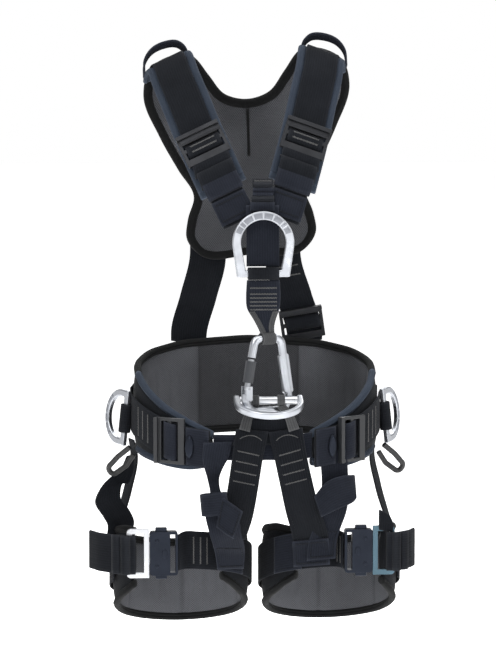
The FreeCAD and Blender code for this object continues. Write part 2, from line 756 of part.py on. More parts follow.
def build_buckle(side, sign):
    """Socket with two squeeze clips, and the tongue that slides out of it with its strap."""
    turn = Rotation() if sign > 0 else Rotation(UP, 180)
    place = Placement(Vector(sign * BUCKLE_PLACE.x, BUCKLE_PLACE.y, BUCKLE_PLACE.z), turn)
    name = "leg_buckle_%s_" % side
    shell = block(name + "shell", "sheet.buckle_length", "sheet.buckle_thick",
                  "sheet.buckle_height")
    mouth = block(name + "mouth", "sheet.tongue_length", "sheet.tongue_thick + 0.8",
                  "sheet.tongue_height + 0.8",
                  along="(sheet.buckle_length - sheet.tongue_length) / 2 + 0.5")
    webbing_slot = block(name + "webbing_slot", "6", "sheet.buckle_thick + 2",
                         "sheet.webbing_width", along="-sheet.buckle_length / 2 + 6")
    pockets = []
    for number, up in enumerate((1, -1)):
        pockets.append(block(
            name + "pocket%d" % number, "15", "sheet.buckle_thick - 3.2", "11",
            along="3", above="%d * (sheet.buckle_height / 2 - 4.5)" % up))
    combined("leg_buckle_" + side, "Part::Cut", shell, [mouth, webbing_slot] + pockets, place)
    for level, up in (("upper", 1), ("lower", -1)):
        clip = block(
            "clip_%s_%s_block" % (level, side), "13.6", "sheet.buckle_thick - 4.2", "9.5",
            along="3", above="%d * (sheet.buckle_height / 2 - 0.4)" % up)
        eased = doc.addObject("Part::Fillet", "leg_clip_%s_%s" % (level, side))
        eased.Base = clip
        eased.Label = "leg_clip_%s_%s" % (level, side)
        doc.recompute()
        eased.Edges = [(i + 1, 1.2, 1.2) for i in range(len(clip.Shape.Edges))]
        eased.Placement = place

    gap = "0.6"
    start = "sheet.buckle_length / 2 + %s" % gap
    tongue = block("tongue_%s_blade" % side, "sheet.tongue_length - 2", "sheet.tongue_thick",
                   "sheet.tongue_height",
                   along="%s - (sheet.tongue_length - 2) / 2 + 1" % start)
    frame = block("tongue_%s_frame" % side, "sheet.frame_length", "sheet.frame_thick",
                  "sheet.frame_height", along="%s + sheet.frame_length / 2" % start)
    slot = block("tongue_%s_slot" % side, "sheet.frame_length - 2 * sheet.frame_bar",
                 "sheet.frame_thick + 2", "sheet.webbing_width + 1",
                 along="%s + sheet.frame_length / 2" % start)
    open_frame = combined("tongue_%s_open" % side, "Part::Cut", frame, [slot])
    combined("leg_tongue_" + side, "Part::MultiFuse", open_frame, [tongue], place)

    thin = size("webbing_thick")
    frame_start = BUCKLE_PLACE.x + size("buckle_length") / 2 + 0.6
    outer_bar = frame_start + size("frame_length") - size("frame_bar")
    face = BUCKLE_PLACE.y - size("frame_thick") / 2 - thin / 2 - 1.6
    spare = LEG_STRAP_SPARE[side]
    points = [(sign * (outer_bar + x), face + y, BUCKLE_PLACE.z - 1) for x, y in (
        (-4, 0), (6, 0), (14, 6), (spare * 0.75, spare * 0.47), (spare, spare * 0.89))]
    feature("leg_strap_" + side, ribbon(plain(points, (0, 0, 1), 46), thin + 2))


def build_legs():
    edge = size("binding_width")
    pad = size("pad_thick") - 1
    thin = size("webbing_thick")
    web = size("webbing_width")
    outside = pad / 2 + 1 + size("layer_gap") + thin / 2
    for side, sign in SIDES:
        wrap = [turn * GRID for turn in range(-12, 12)]
        feature("leg_pad_" + side, ribbon(leg_stations(
            sign, wrap, 0, lambda half: edge + 0.3 - half, lambda half: half - edge - 0.3), pad))
        upper = leg_stations(sign, wrap, 0, lambda half: half - edge, lambda half: half)
        lower = leg_stations(sign, wrap, 0, lambda half: -half, lambda half: edge - half)
        feature("leg_binding_" + side,
                Part.makeCompound([ribbon(upper, pad + 2), ribbon(lower, pad + 2)]))
        round_leg = [turn * GRID for turn in range(-15, 10)]
        strap = leg_stations(sign, round_leg, outside,
                             lambda half: -web / 2, lambda half: web / 2)
        end = Vector(sign * (BUCKLE_PLACE.x - size("buckle_length") / 2 - 0.8),
                     BUCKLE_PLACE.y + 2, BUCKLE_PLACE.z)
        feature("leg_webbing_" + side, ribbon([(end, UP, web - 2)] + strap, thin))
        build_buckle(side, sign)


def build_risers():
    """Webbing between the belt's front and sides and the leg loops."""
    thin = size("webbing_thick")
    for side, points in (
        ("left", [(-12.5, -115, -22, 38, 0.0), (-17, -115, -48, 36, 0.0),
                  (-22, -110, -84, 36, 0.1), (-27, -100, -120, 38, 0.3),
                  (-33, -76, -158, 42, 0.8)]),
        ("right", [(26, -115, -22, 40, 0.0), (31, -115, -48, 38, 0.0),
                   (39, -110, -84, 38, -0.1), (48, -101, -120, 40, -0.25),
                   (61, -92.5, -158, 42, -0.3)]),
    ):
        stations = []
        for x, y, z, width, twist in points:
            across = Vector(1, twist, 0.12 if side == "right" else -0.08).normalize()
            stations.append((Vector(x, y, z), across, width))
        feature("leg_riser_" + side, ribbon(stations, thin))
    feature("hip_strap_left", ribbon([
        (Vector(-58, -101, -76), Vector(1, 0.3, 0).normalize(), 16),
        (Vector(-54, -107, -98), Vector(1, 0.2, 0).normalize(), 14),
        (Vector(-49, -117, -118), Vector(1, 0, -0.2).normalize(), 38),
        (Vector(-44, -114, -140), Vector(1, 0.1, -0.2).normalize(), 40),
        (Vector(-40, -108, -150), Vector(1, 0.3, -0.2).normalize(), 40)], thin))
    feature("hip_strap_right", ribbon([
        (Vector(86, -96, -76), Vector(1, 0.25, 0.1).normalize(), 34),
        (Vector(86, -101, -100), Vector(1, 0.1, 0.1).normalize(), 34),
        (Vector(83, -98, -126), Vector(1, 0, 0.1).normalize(), 34),
        (Vector(81, -92, -140), Vector(1, 0, 0.1).normalize(), 34)], thin))
    for side, sign in SIDES:
        feature("rear_riser_" + side, ribbon([
            (Vector(sign * 141, 22, -74), Vector(0.5 * sign, 1, 0).normalize(), 20),
            (Vector(sign * 152, 22, -108), Vector(0.5 * sign, 1, 0).normalize(), 20),
            (Vector(sign * 165, 22, -152), Vector(0.4 * sign, 1, 0).normalize(), 20)], thin))
    feature("side_riser_left", ribbon([
        (Vector(-160, -6, -92), Vector(1, 0.3, -0.5).normalize(), 22),
        (Vector(-177, -14, -104), Vector(1, 0.2, 0.4).normalize(), 32),
        (Vector(-178, -18, -120), Vector(1, 0, 0.2).normalize(), 30),
        (Vector(-164, -14, -136), Vector(1, 0.1, 0.3).normalize(), 32),
        (Vector(-160, -10, -148), Vector(1, 0.2, 0).normalize(), 34)], thin))


# ---------------------------------------------------------------- the whole harness

NODES = (
    ["back_pad", "back_binding", "dorsal_webbing", "carry_loops", "sternal_webbing",
     "sternal_connector", "back_strap_adjuster", "belt_pad", "belt_binding", "belt_webbing",
     "front_band", "ventral_panel", "ventral_bridges", "ventral_ring", "ventral_bar",
     "sternal_ring", "dorsal_ring", "carabiner_body", "gate_pin", "carabiner_gate",
     "carabiner_sleeve", "side_riser_left"]
    + ["%s_%s" % (name, side) for side, _ in SIDES for name in (
        "shoulder_pad", "chest_webbing", "shoulder_adjuster", "back_strap", "belt_strap",
        "belt_adjuster", "side_ring", "gear_loop", "leg_riser", "leg_pad", "leg_binding",
        "leg_webbing", "leg_buckle", "leg_clip_upper", "leg_clip_lower", "leg_tongue",
        "leg_strap", "hip_strap", "rear_riser")]
)


def check_document():
    """Every object recomputed, and every sub-part a valid solid."""
    for item in doc.Objects:
        if "Invalid" in item.State or "Error" in item.State:
            raise RuntimeError("%s: %s" % (item.Name, item.State))
    for label in NODES:
        shape = doc.getObjectsByLabel(label)[0].Shape
        if shape.isNull() or not shape.isValid() or not shape.Solids:
            raise RuntimeError("%s: no valid solid" % label)


def main():
    build_belt()
    build_back()
    build_shoulders()
    build_chest()
    build_connector()
    build_rings()
    build_back_straps()
    build_ventral()
    build_legs()
    build_risers()
    doc.recompute()
    check_document()
    os.makedirs("parts", exist_ok=True)
    for label in NODES:
        shape = doc.getObjectsByLabel(label)[0].Shape
        shape.exportStep("parts/%s.step" % label)
        print("%-24s %9.0f mm3  %d solids" % (label, shape.Volume, len(shape.Solids)))


main()
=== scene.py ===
import math

import bmesh
import bpy
import numpy as np
from mathutils import Matrix, Vector, noise


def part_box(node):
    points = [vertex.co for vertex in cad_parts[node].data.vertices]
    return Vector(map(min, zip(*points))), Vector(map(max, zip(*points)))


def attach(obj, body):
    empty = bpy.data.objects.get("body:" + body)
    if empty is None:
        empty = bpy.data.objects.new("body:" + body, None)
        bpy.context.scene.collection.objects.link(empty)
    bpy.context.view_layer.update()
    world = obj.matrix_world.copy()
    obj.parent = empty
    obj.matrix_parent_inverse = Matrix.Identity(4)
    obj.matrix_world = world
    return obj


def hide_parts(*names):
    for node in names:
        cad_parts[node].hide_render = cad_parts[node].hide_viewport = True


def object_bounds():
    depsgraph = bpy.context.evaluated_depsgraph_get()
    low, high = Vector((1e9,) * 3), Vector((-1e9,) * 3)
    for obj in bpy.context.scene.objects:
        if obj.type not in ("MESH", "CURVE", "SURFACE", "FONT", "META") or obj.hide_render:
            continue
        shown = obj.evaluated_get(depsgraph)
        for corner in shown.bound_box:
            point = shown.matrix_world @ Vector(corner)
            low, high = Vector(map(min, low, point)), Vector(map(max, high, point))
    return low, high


# Full-body climbing and work-positioning harness.  Straps, pads and stitches are laid out in
# millimetres on the same routes as the CAD model, and turned into metres when a mesh is made.
# "left" and "right" are the viewer's, facing the harness from the front (-Y).

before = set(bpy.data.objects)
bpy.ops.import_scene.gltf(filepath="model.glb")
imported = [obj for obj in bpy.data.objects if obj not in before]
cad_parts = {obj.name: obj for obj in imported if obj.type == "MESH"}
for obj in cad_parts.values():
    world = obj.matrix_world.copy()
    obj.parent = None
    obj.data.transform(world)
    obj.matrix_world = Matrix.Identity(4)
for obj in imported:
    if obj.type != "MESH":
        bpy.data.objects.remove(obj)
cad_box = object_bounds()

MM = 0.001
UP, RIGHT = Vector((0, 0, 1)), Vector((1, 0, 0))
SIDES = (("left", -1), ("right", 1))


# ---------------------------------------------------------------- camera, light and floor

CAMERA_AZIMUTH, CAMERA_ELEVATION = math.radians(-4.5), math.radians(5.5)
CAMERA_DISTANCE, CAMERA_LENS = 3.0, 136.16          # metres, and mm on a 36 mm sensor
CAMERA_TARGET = Vector((-0.0084, 0, 0.083))
LAMP_TARGET = Vector((0, 0, 0.08))
LAMPS = [                       # name, place and size in metres, power in watts
    ("key", (-1.3, -1.6, 1.5), (1.2, 1.0), 26),
    ("fill", (1.6, -1.4, 0.7), (0.8, 1.4), 14),
    ("front", (0.1, -2.2, 0.1), (0.9, 0.5), 3),
    ("rim", (0.4, 1.8, 1.3), (1.6, 0.8), 22),
    ("ceiling", (0, 0, 3.2), (5, 5), 260),
]
SKY = ((0.0, 1.0), (0.14, 1.0), (0.34, 0.28), (1.0, 0.2))      # height of view, brightness
FLOOR_SIZE, FLOOR_DROP = 60, 0.3


def link(name, data):
    """A new object in the scene."""
    made = bpy.data.objects.new(name, data)
    bpy.context.scene.collection.objects.link(made)
    return made


def add_camera():
    """Slightly left of the front and a little above, with a long lens."""
    level = math.cos(CAMERA_ELEVATION)
    back = Vector((math.sin(CAMERA_AZIMUTH) * level, -math.cos(CAMERA_AZIMUTH) * level,
                   math.sin(CAMERA_ELEVATION)))
    data = bpy.data.cameras.new("camera")
    data.lens, data.sensor_width = CAMERA_LENS, 36
    camera = link("camera", data)
    camera.location = CAMERA_TARGET + back * CAMERA_DISTANCE
    camera.rotation_euler = back.to_track_quat("Z", "Y").to_euler()
    bpy.context.scene.camera = camera


def add_studio():
    """White room: bright world, a pale floor well below the hanging harness, soft lamps."""
    scene = bpy.context.scene
    scene.view_settings.view_transform = "Standard"
    world = bpy.data.worlds.new("studio")
    world.use_nodes = True
    tree = world.node_tree
    direction = node(tree, "ShaderNodeTexCoord").outputs["Generated"]
    height = node(tree, "ShaderNodeSeparateXYZ", (("Vector", direction),)).outputs["Z"]
    tree.links.new(ramp(tree, height, SKY), tree.nodes["Background"].inputs["Color"])
    scene.world = world
    for name, place, size, power in LAMPS:
        data = bpy.data.lights.new(name, "AREA")
        data.shape, data.energy = "RECTANGLE", power
        data.size, data.size_y = size
        lamp = link(name, data)
        lamp.location = place
        lamp.rotation_euler = (Vector(place) - LAMP_TARGET).to_track_quat("Z", "Y").to_euler()
    bpy.ops.mesh.primitive_plane_add(size=FLOOR_SIZE,
                                     location=(0, 0, cad_box[0][2] - FLOOR_DROP))
    floor = bpy.context.object
    floor.name = "floor"
    floor.data.materials.append(floor_paint())


# ---------------------------------------------------------------- materials

def node(tree, kind, inputs=(), **settings):
    """A node of a kind, with its settings, and its inputs as (name, value or output) pairs."""
    made = tree.nodes.new(kind)
    for name, value in settings.items():
        setattr(made, name, value)
    for name, value in inputs:
        if isinstance(value, bpy.types.NodeSocket):
            tree.links.new(value, made.inputs[name])
        else:
            made.inputs[name].default_value = value
    return made


def maths(tree, operation, first, second=0.0):
    made = node(tree, "ShaderNodeMath", ((0, first), (1, second)), operation=operation)
    return made.outputs[0]


def ramp(tree, value, stops):
    """A colour ramp; stops are (position, grey) pairs."""
    made = node(tree, "ShaderNodeValToRGB", (("Fac", value),))
    elements = made.color_ramp.elements
    while len(elements) < len(stops):
        elements.new(0.5)
    for element, (position, grey) in zip(elements, stops):
        element.position = position
        element.color = (grey, grey, grey, 1)
    return made.outputs["Color"]


def mixed(tree, share, low, high):
    made = node(tree, "ShaderNodeMix", ((0, share),), data_type="RGBA")
    for index, value in ((6, low), (7, high)):
        if isinstance(value, bpy.types.NodeSocket):
            tree.links.new(value, made.inputs[index])
        else:
            made.inputs[index].default_value = (*value, 1)
    return made.outputs[2]


def times(tree, tone, shade):
    """A colour darkened by a shade."""
    return node(tree, "ShaderNodeMix", ((0, 1.0), (6, tone), (7, shade)), data_type="RGBA",
                blend_type="MULTIPLY").outputs[2]


def add_bump(tree, shader, height, strength, depth):
    """Relief on a shader; depth is in millimetres."""
    bump = node(tree, "ShaderNodeBump",
                (("Height", height), ("Strength", strength), ("Distance", depth * MM)))
    tree.links.new(bump.outputs["Normal"], shader.inputs["Normal"])


def object_place(tree):
    return node(tree, "ShaderNodeTexCoord").outputs["Object"]


def surface(name, **sockets):
    """A new material, its node tree and its shader; sockets are set on the shader itself."""
    material = bpy.data.materials.new(name)
    material.use_nodes = True
    tree = material.node_tree
    shader = tree.nodes["Principled BSDF"]
    for socket, value in sockets.items():
        shader.inputs[socket.replace("_", " ")].default_value = value
    return material, tree, shader


def clouds(tree, vector, scale, detail=3.0):
    made = node(tree, "ShaderNodeTexNoise",
                (("Vector", vector), ("Scale", scale), ("Detail", detail)))
    return made.outputs["Fac"]


def waves(tree, coordinate, period):
    """A sine of a coordinate in metres, from 0 to 1, with the given period in millimetres."""
    angle = maths(tree, "MULTIPLY", coordinate, 2 * math.pi / (period * MM))
    return maths(tree, "MULTIPLY_ADD", maths(tree, "SINE", angle), 0.5)


def fabric(name, dark, light, weave, depth, roughness=0.9, wear=0.5, zone=0.85, edge=0.3):
    """Cloth whose weave follows the strap; weave makes its height from (tree, across, along).

    wear is how far patches are worn pale, zone the tone of its broad dark areas, which are
    painted shade, and edge how pale its folded, convex edges are painted as a highlight; its
    concave folds are painted darker as shade."""
    material, tree, shader = surface(
        name, Roughness=roughness, Sheen_Weight=0.025, Sheen_Roughness=0.4,
        Specular_IOR_Level=0.1)
    layout = node(tree, "ShaderNodeUVMap", uv_map="layout").outputs["UV"]
    split = node(tree, "ShaderNodeSeparateXYZ", (("Vector", layout),))
    height = weave(tree, split.outputs["X"], split.outputs["Y"])
    place = object_place(tree)
    patches = ramp(tree, clouds(tree, place, 38), ((0.35, 0), (0.7, 1)))
    # Broad, randomly placed dark areas: painted shade, standing in for uneven shading across the
    # cloth.
    painted_shade_zones = ramp(tree, clouds(tree, place, 7, 1.0), ((0.38, zone), (0.6, 1)))
    fuzz = clouds(tree, place, 900, 2.0)
    speck = ramp(tree, fuzz, ((0.3, 0.78), (0.7, 1)))
    worn = [min(1, channel * 1.5 + 0.008) for channel in light]
    aged = mixed(tree, maths(tree, "MULTIPLY", patches, wear * 0.35),
                 mixed(tree, height, dark, light), worn)
    # Light and shade painted from curvature: concave folds are painted darker (painted shade) and
    # convex edges paler (painted highlight).
    bend = node(tree, "ShaderNodeNewGeometry").outputs["Pointiness"]
    painted_light_mask = ramp(tree, bend, ((0.44, 0.0), (0.5, 0.3), (0.6, 1.0)))
    painted_crease_shade = ramp(tree, painted_light_mask, ((0.0, 0.45), (0.3, 1.0), (1.0, 1.0)))
    shaded = times(tree, times(tree, times(tree, aged, painted_shade_zones), speck), painted_crease_shade)
    # Painted highlight: convex edges are mixed towards a pale tone.
    share = ramp(tree, painted_light_mask, ((0.45, 0.0), (1.0, edge)))
    final = mixed(tree, share, shaded, [min(1, channel * 2.2 + 0.02) for channel in light])
    tree.links.new(final, shader.inputs["Base Color"])
    relief = maths(tree, "ADD", height, maths(tree, "MULTIPLY", fuzz, 0.35))
    add_bump(tree, shader, relief, 0.7, depth)
    return material


def webbing_weave(tree, across, along):
    """Herringbone ribs: lengthways ribs crossed by fine slanted picks."""
    ribs = waves(tree, across, 2.9)
    zigzag = maths(tree, "PINGPONG", across, 2.9 * MM)
    picks = waves(tree, maths(tree, "ADD", along, zigzag), 1.7)
    return maths(tree, "ADD", maths(tree, "MULTIPLY", ribs, 0.45),
                 maths(tree, "MULTIPLY", picks, 0.55))


def mesh_weave(tree, across, along):
    """Knitted spacer mesh: rows of small holes, every other row moved by half a pitch."""
    first = maths(tree, "MULTIPLY", waves(tree, across, 2.6), waves(tree, along, 3.4))
    shifted = maths(tree, "ADD", across, 1.3 * MM)
    lifted = maths(tree, "ADD", along, 1.7 * MM)
    second = maths(tree, "MULTIPLY", waves(tree, shifted, 2.6), waves(tree, lifted, 3.4))
    holes = maths(tree, "MAXIMUM", first, second)
    return maths(tree, "SUBTRACT", 1.0, maths(tree, "POWER", holes, 2.5))


def tape_weave(tree, across, along):
    """Grosgrain: ribs straight across the tape."""
    return maths(tree, "ADD", maths(tree, "MULTIPLY", waves(tree, along, 1.1), 0.7),
                 maths(tree, "MULTIPLY", waves(tree, across, 0.8), 0.3))


def twill_weave(tree, across, along):
    """Fine diagonal ribs."""
    return waves(tree, maths(tree, "ADD", across, along), 1.3)


def thread_weave(tree, across, along):
    """The twist of a sewing thread."""
    return waves(tree, maths(tree, "ADD", across, along), 0.6)


def metal(name, colour, roughness, scratches, stain, scale=260):
    """Metal with a varied polish, fine scratches and dulled patches."""
    material, tree, shader = surface(name, Metallic=1.0)
    place = object_place(tree)
    stretched = node(tree, "ShaderNodeMapping",
                     (("Vector", place), ("Scale", (1, 1, 9)))).outputs["Vector"]
    hairs = clouds(tree, stretched, scale, 6)
    dull = ramp(tree, clouds(tree, place, 55, 4), ((0.3, 0), (0.75, 1)))
    darker = tuple(channel * 0.62 for channel in colour)
    tone = mixed(tree, maths(tree, "MULTIPLY", dull, stain * 2.5), colour, darker)
    tree.links.new(tone, shader.inputs["Base Color"])
    rough = maths(tree, "ADD", maths(tree, "MULTIPLY", hairs, scratches * 0.35),
                  maths(tree, "MULTIPLY", dull, stain))
    tree.links.new(maths(tree, "ADD", rough, roughness), shader.inputs["Roughness"])
    add_bump(tree, shader, hairs, scratches * 0.3, 0.03)
    return material


def moulded(name, colour, roughness):
    """Moulded rubber or plastic with a fine pebble and paler scuffs."""
    material, tree, shader = surface(name, Specular_IOR_Level=0.4)
    place = object_place(tree)
    pebble = clouds(tree, place, 420, 3)
    scuffs = ramp(tree, clouds(tree, place, 70, 6), ((0.55, 0), (0.8, 1)))
    paler = tuple(min(1, channel * 1.6 + 0.01) for channel in colour)
    tone = mixed(tree, maths(tree, "MULTIPLY", scuffs, 0.6), colour, paler)
    tree.links.new(tone, shader.inputs["Base Color"])
    rough = maths(tree, "ADD", maths(tree, "MULTIPLY", scuffs, 0.15), roughness)
    tree.links.new(rough, shader.inputs["Roughness"])
    add_bump(tree, shader, pebble, 0.5, 0.12)
    return material


def floor_paint():
    """Matt white studio floor, lit like a light table, with the faintest mottling."""
    material, tree, shader = surface("studio_floor", Roughness=0.9, Emission_Strength=0.72,
                                     Emission_Color=(1, 1, 1, 1))
    place = object_place(tree)
    tone = ramp(tree, clouds(tree, place, 3), ((0, 0.95), (1, 0.98)))
    tree.links.new(tone, shader.inputs["Base Color"])
    return material


FABRICS = {                     # record's slot, weave, dark and light of the weave, settings
    "mesh_liner": ("mesh_liner", mesh_weave, (0.017, 0.0176, 0.0195), (0.083, 0.0855, 0.094),
                   {"depth": 0.5, "wear": 0.35, "zone": 0.55}),
    "liner_dark": ("mesh_liner", mesh_weave, (0.011, 0.0115, 0.0125), (0.042, 0.043, 0.047),
                   {"depth": 0.5, "wear": 0.3}),
    "padding": ("strap_padding", twill_weave, (0.0035, 0.004, 0.005), (0.008, 0.009, 0.0115),
                {"depth": 0.15, "wear": 0.3}),
    "binding_black": ("binding_black", tape_weave, (0.0022, 0.0024, 0.0026),
                      (0.0062, 0.0065, 0.0068), {"depth": 0.18, "wear": 0.3}),
    "binding_blue": ("binding_black", tape_weave, (0.013, 0.0175, 0.026), (0.031, 0.04, 0.057),
                     {"depth": 0.18, "wear": 0.4}),
    "webbing_black": ("webbing_black", webbing_weave, (0.0025, 0.003, 0.0042),
                      (0.008, 0.0093, 0.0125), {"depth": 0.3, "wear": 0.4}),
    "webbing_navy": ("webbing_navy", webbing_weave, (0.005, 0.006, 0.0095),
                     (0.014, 0.0165, 0.0245), {"depth": 0.3, "wear": 0.4}),
    "webbing_grey": ("webbing_grey", webbing_weave, (0.023, 0.0235, 0.025),
                     (0.062, 0.063, 0.065), {"depth": 0.3}),
    "thread_grey": ("webbing_grey", thread_weave, (0.06, 0.06, 0.06), (0.13, 0.13, 0.13),
                    {"depth": 0.1, "roughness": 0.6, "edge": 0}),
    "thread_black": ("webbing_black", thread_weave, (0.004, 0.0045, 0.006),
                     (0.012, 0.0135, 0.017), {"depth": 0.1, "roughness": 0.6, "edge": 0}),
}
METALS = {                      # record's slot, colour, roughness, scratches, stain
    "aluminium": ("forged_aluminium", (0.4, 0.415, 0.445), 0.2, 0.3, 0.18),
    "engraved": ("forged_aluminium", (0.24, 0.25, 0.275), 0.35, 0.5, 0.2, 900),
    "bright_steel": ("bright_steel", (0.5, 0.51, 0.53), 0.2, 0.3, 0.14),
    "blue_steel": ("bright_steel", (0.07, 0.115, 0.145), 0.2, 0.3, 0.14),
    "gunmetal": ("gunmetal", (0.019, 0.022, 0.03), 0.3, 0.35, 0.15),
    "steel_pin": ("steel_pin", (0.3, 0.31, 0.33), 0.25, 0.3, 0.12),
    "adjuster_black": ("adjuster_black", (0.032, 0.033, 0.036), 0.45, 0.3, 0.15),
}
MOULDINGS = {                   # record's slot, colour, roughness
    "adjuster_dark": ("adjuster_black", (0.011, 0.012, 0.014), 0.42),
    "rubber": ("webbing_grey", (0.012, 0.0122, 0.013), 0.55),
    "sleeve": ("gate_sleeve", (0.022, 0.024, 0.028), 0.35),
}
MATERIALS, RECORD_SLOTS = {}, {}


def make_materials():
    for name, (slot, weave, dark, light, settings) in FABRICS.items():
        MATERIALS[name] = fabric(name, dark, light, weave, **settings)
        RECORD_SLOTS[name] = slot
    for maker, table in ((metal, METALS), (moulded, MOULDINGS)):
        for name, (slot, *settings) in table.items():
            MATERIALS[name] = maker(name, *settings)
            RECORD_SLOTS[name] = slot


# ---------------------------------------------------------------- meshes

def dress(piece, look, *others):
    """Give a piece its material, and further ones by slot."""
    for name in (look,) + others:
        piece.data.materials.append(MATERIALS[name])
    return piece


def new_piece(name, verts, faces, layout):
    """A smooth-shaded mesh object from points in millimetres."""
    mesh = bpy.data.meshes.new(name)
    mesh.from_pydata([tuple(np.asarray(v) * MM) for v in verts], [], faces)
    layer = mesh.uv_layers.new(name="layout")
    flat = np.asarray(layout, float)[[loop.vertex_index for loop in mesh.loops]] * MM
    layer.data.foreach_set("uv", flat.ravel())
    mesh.polygons.foreach_set("use_smooth", [True] * len(mesh.polygons))
    mesh.update()
    return link(name, mesh)


def place_piece(piece, body, *nodes):
    """Let a finished piece move with its body and stand for CAD nodes."""
    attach(piece, body)
    if nodes:
        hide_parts(*nodes)
    return piece


def baked(piece):
    """The piece with its modifiers applied."""
    bpy.context.view_layer.update()
    graph = bpy.context.evaluated_depsgraph_get()
    mesh = bpy.data.meshes.new_from_object(piece.evaluated_get(graph))
    piece.modifiers.clear()
    piece.data = mesh
    return piece


def hermite(knots, values, at):
    """Values of a smooth curve through the knots."""
    knots, values = np.asarray(knots, float), np.asarray(values, float)
    slopes = np.gradient(values, knots, axis=0)
    left = np.clip(np.searchsorted(knots, at, side="right") - 1, 0, len(knots) - 2)
    span = (knots[left + 1] - knots[left])[:, None]
    t = (np.asarray(at)[:, None] - knots[left][:, None]) / span
    return ((2 * t**3 - 3 * t**2 + 1) * values[left] + (t**3 - 2 * t**2 + t) * span * slopes[left]
            + (3 * t**2 - 2 * t**3) * values[left + 1] + (t**3 - t**2) * span * slopes[left + 1])


class Band:
    """A strap's middle surface: stations of (centre, across, width), smoothed into frames.

    Everything is in millimetres.  outward is +1 or -1 and picks the face that stitches and
    lifts go to; closed joins the last station to the first."""

    def __init__(self, stations, outward=1, place=None, closed=False, step=3.0):
        rows = [(*centre, *Vector(across).normalized(), width)
                for centre, across, width in stations]
        if closed:
            rows = rows[-3:] + rows + rows[:4]
        rows = np.array(rows, float)
        chords = np.linalg.norm(np.diff(rows[:, :3], axis=0), axis=1)
        knots = np.concatenate([[0], np.cumsum(chords)])
        first, last = (knots[3], knots[-4]) if closed else (0, knots[-1])
        count = max(2, int(round((last - first) / step)) + 1)
        table = hermite(knots, rows, np.linspace(first, last, count))
        centre, across = table[:, :3], table[:, 3:6]
        if place is not None:
            turn = np.array(place)
            centre = centre @ turn[:3, :3].T + turn[:3, 3]
            across = across @ turn[:3, :3].T
        across = across / np.linalg.norm(across, axis=1)[:, None]
        if closed:
            around = np.concatenate([centre[-2:-1], centre, centre[1:2]])
            tangent = around[2:] - around[:-2]
        else:
            tangent = np.gradient(centre, axis=0)
        normal = np.cross(tangent, across) * outward
        normal /= np.linalg.norm(normal, axis=1)[:, None]
        runs = np.linalg.norm(np.diff(centre, axis=0), axis=1)
        self.run = np.concatenate([[0], np.cumsum(runs)])
        self.table = np.hstack([centre, across, normal, table[:, 6:7]])
        self.length = self.run[-1]
        self.closed = closed

    def rows(self, along):
        along = np.atleast_1d(np.asarray(along, float))
        if self.closed:
            along = along % self.length
        inside = np.clip(along, 0, self.length)
        rows = np.stack([np.interp(inside, self.run, column) for column in self.table.T], 1)
        spare = (along - inside)[:, None]
        ends = np.where(spare > 0, self.table[-1, :3] - self.table[-2, :3],
                        self.table[1, :3] - self.table[0, :3])
        ends = ends / np.linalg.norm(ends, axis=1)[:, None]
        rows[:, :3] += ends * spare
        return rows

    def points(self, along, across=0.0, lift=0.0):
        """Points at a distance along, across and above the strap's middle."""
        rows = self.rows(along)
        return (rows[:, :3] + rows[:, 3:6] * np.reshape(across, (-1, 1))
                + rows[:, 6:9] * np.reshape(lift, (-1, 1)))

    def width(self, along):
        return float(self.rows(along)[0, 9])

    def nearest(self, point):
        """Distance along the strap of the frame nearest to a point in metres."""
        gaps = np.linalg.norm(self.table[:, :3] * MM - np.array(point), axis=1)
        return float(self.run[int(np.argmin(gaps))])

    def part(self, start, end, lift=0.0, width=None, shift=0.0):
        """A shorter band on this one, such as a patch or a folded tail."""
        count = max(3, int(abs(end - start) / 3) + 2)
        rows = self.rows(np.linspace(start, end, count))
        made = Band.__new__(Band)
        rows[:, :3] += rows[:, 6:9] * lift + rows[:, 3:6] * shift
        if width is not None:
            rows[:, 9] = width
        made.table = rows
        steps = np.linalg.norm(np.diff(rows[:, :3], axis=0), axis=1)
        made.run = np.concatenate([[0], np.cumsum(steps)])
        made.length, made.closed = made.run[-1], False
        return made


def tape_profile(thickness, columns=10, crown=0.0, edge=3):
    """Closed section of a tape: (share of its half width, extra across, lift) per point."""
    radius = thickness / 2
    shares = np.linspace(-1, 1, columns + 1)
    lifts = radius + crown * (1 - shares**2)
    turns = np.linspace(math.pi / 2, -math.pi / 2, edge + 2)[1:-1]
    top = [(s, 0, lift) for s, lift in zip(shares, lifts)]
    right = [(1, radius * math.cos(a), radius * math.sin(a)) for a in turns]
    under = [(s, 0, lift - thickness) for s, lift in zip(shares[::-1], lifts[::-1])]
    left = [(-1, -radius * math.cos(a), -radius * math.sin(a)) for a in turns]
    return top + right + under + left, radius


def lens_profile(thickness, rim, columns=12, power=4):
    """Closed section of a pad: thick in the middle, thin at its sewn edges."""
    shares = np.linspace(-1, 1, columns + 1)
    half = (rim + (thickness - rim) * (1 - np.abs(shares)**power)) / 2
    top = [(s, 0, h) for s, h in zip(shares, half)]
    under = [(s, 0, -h) for s, h in zip(shares[::-1], half[::-1])]
    return top + under, 0.0


def loft_faces(rings, size, base=0, closed=False):
    """Faces of a tube of rings with size points each, capped unless it closes on itself."""
    faces = []
    for ring in range(rings if closed else rings - 1):
        low, high = base + ring * size, base + (ring + 1) % rings * size
        for i in range(size):
            j = (i + 1) % size
            faces.append((low + i, low + j, high + j, high + i))
    if not closed:
        faces.append(tuple(range(base, base + size))[::-1])
        faces.append(tuple(range(base + (rings - 1) * size, base + rings * size)))
    return faces


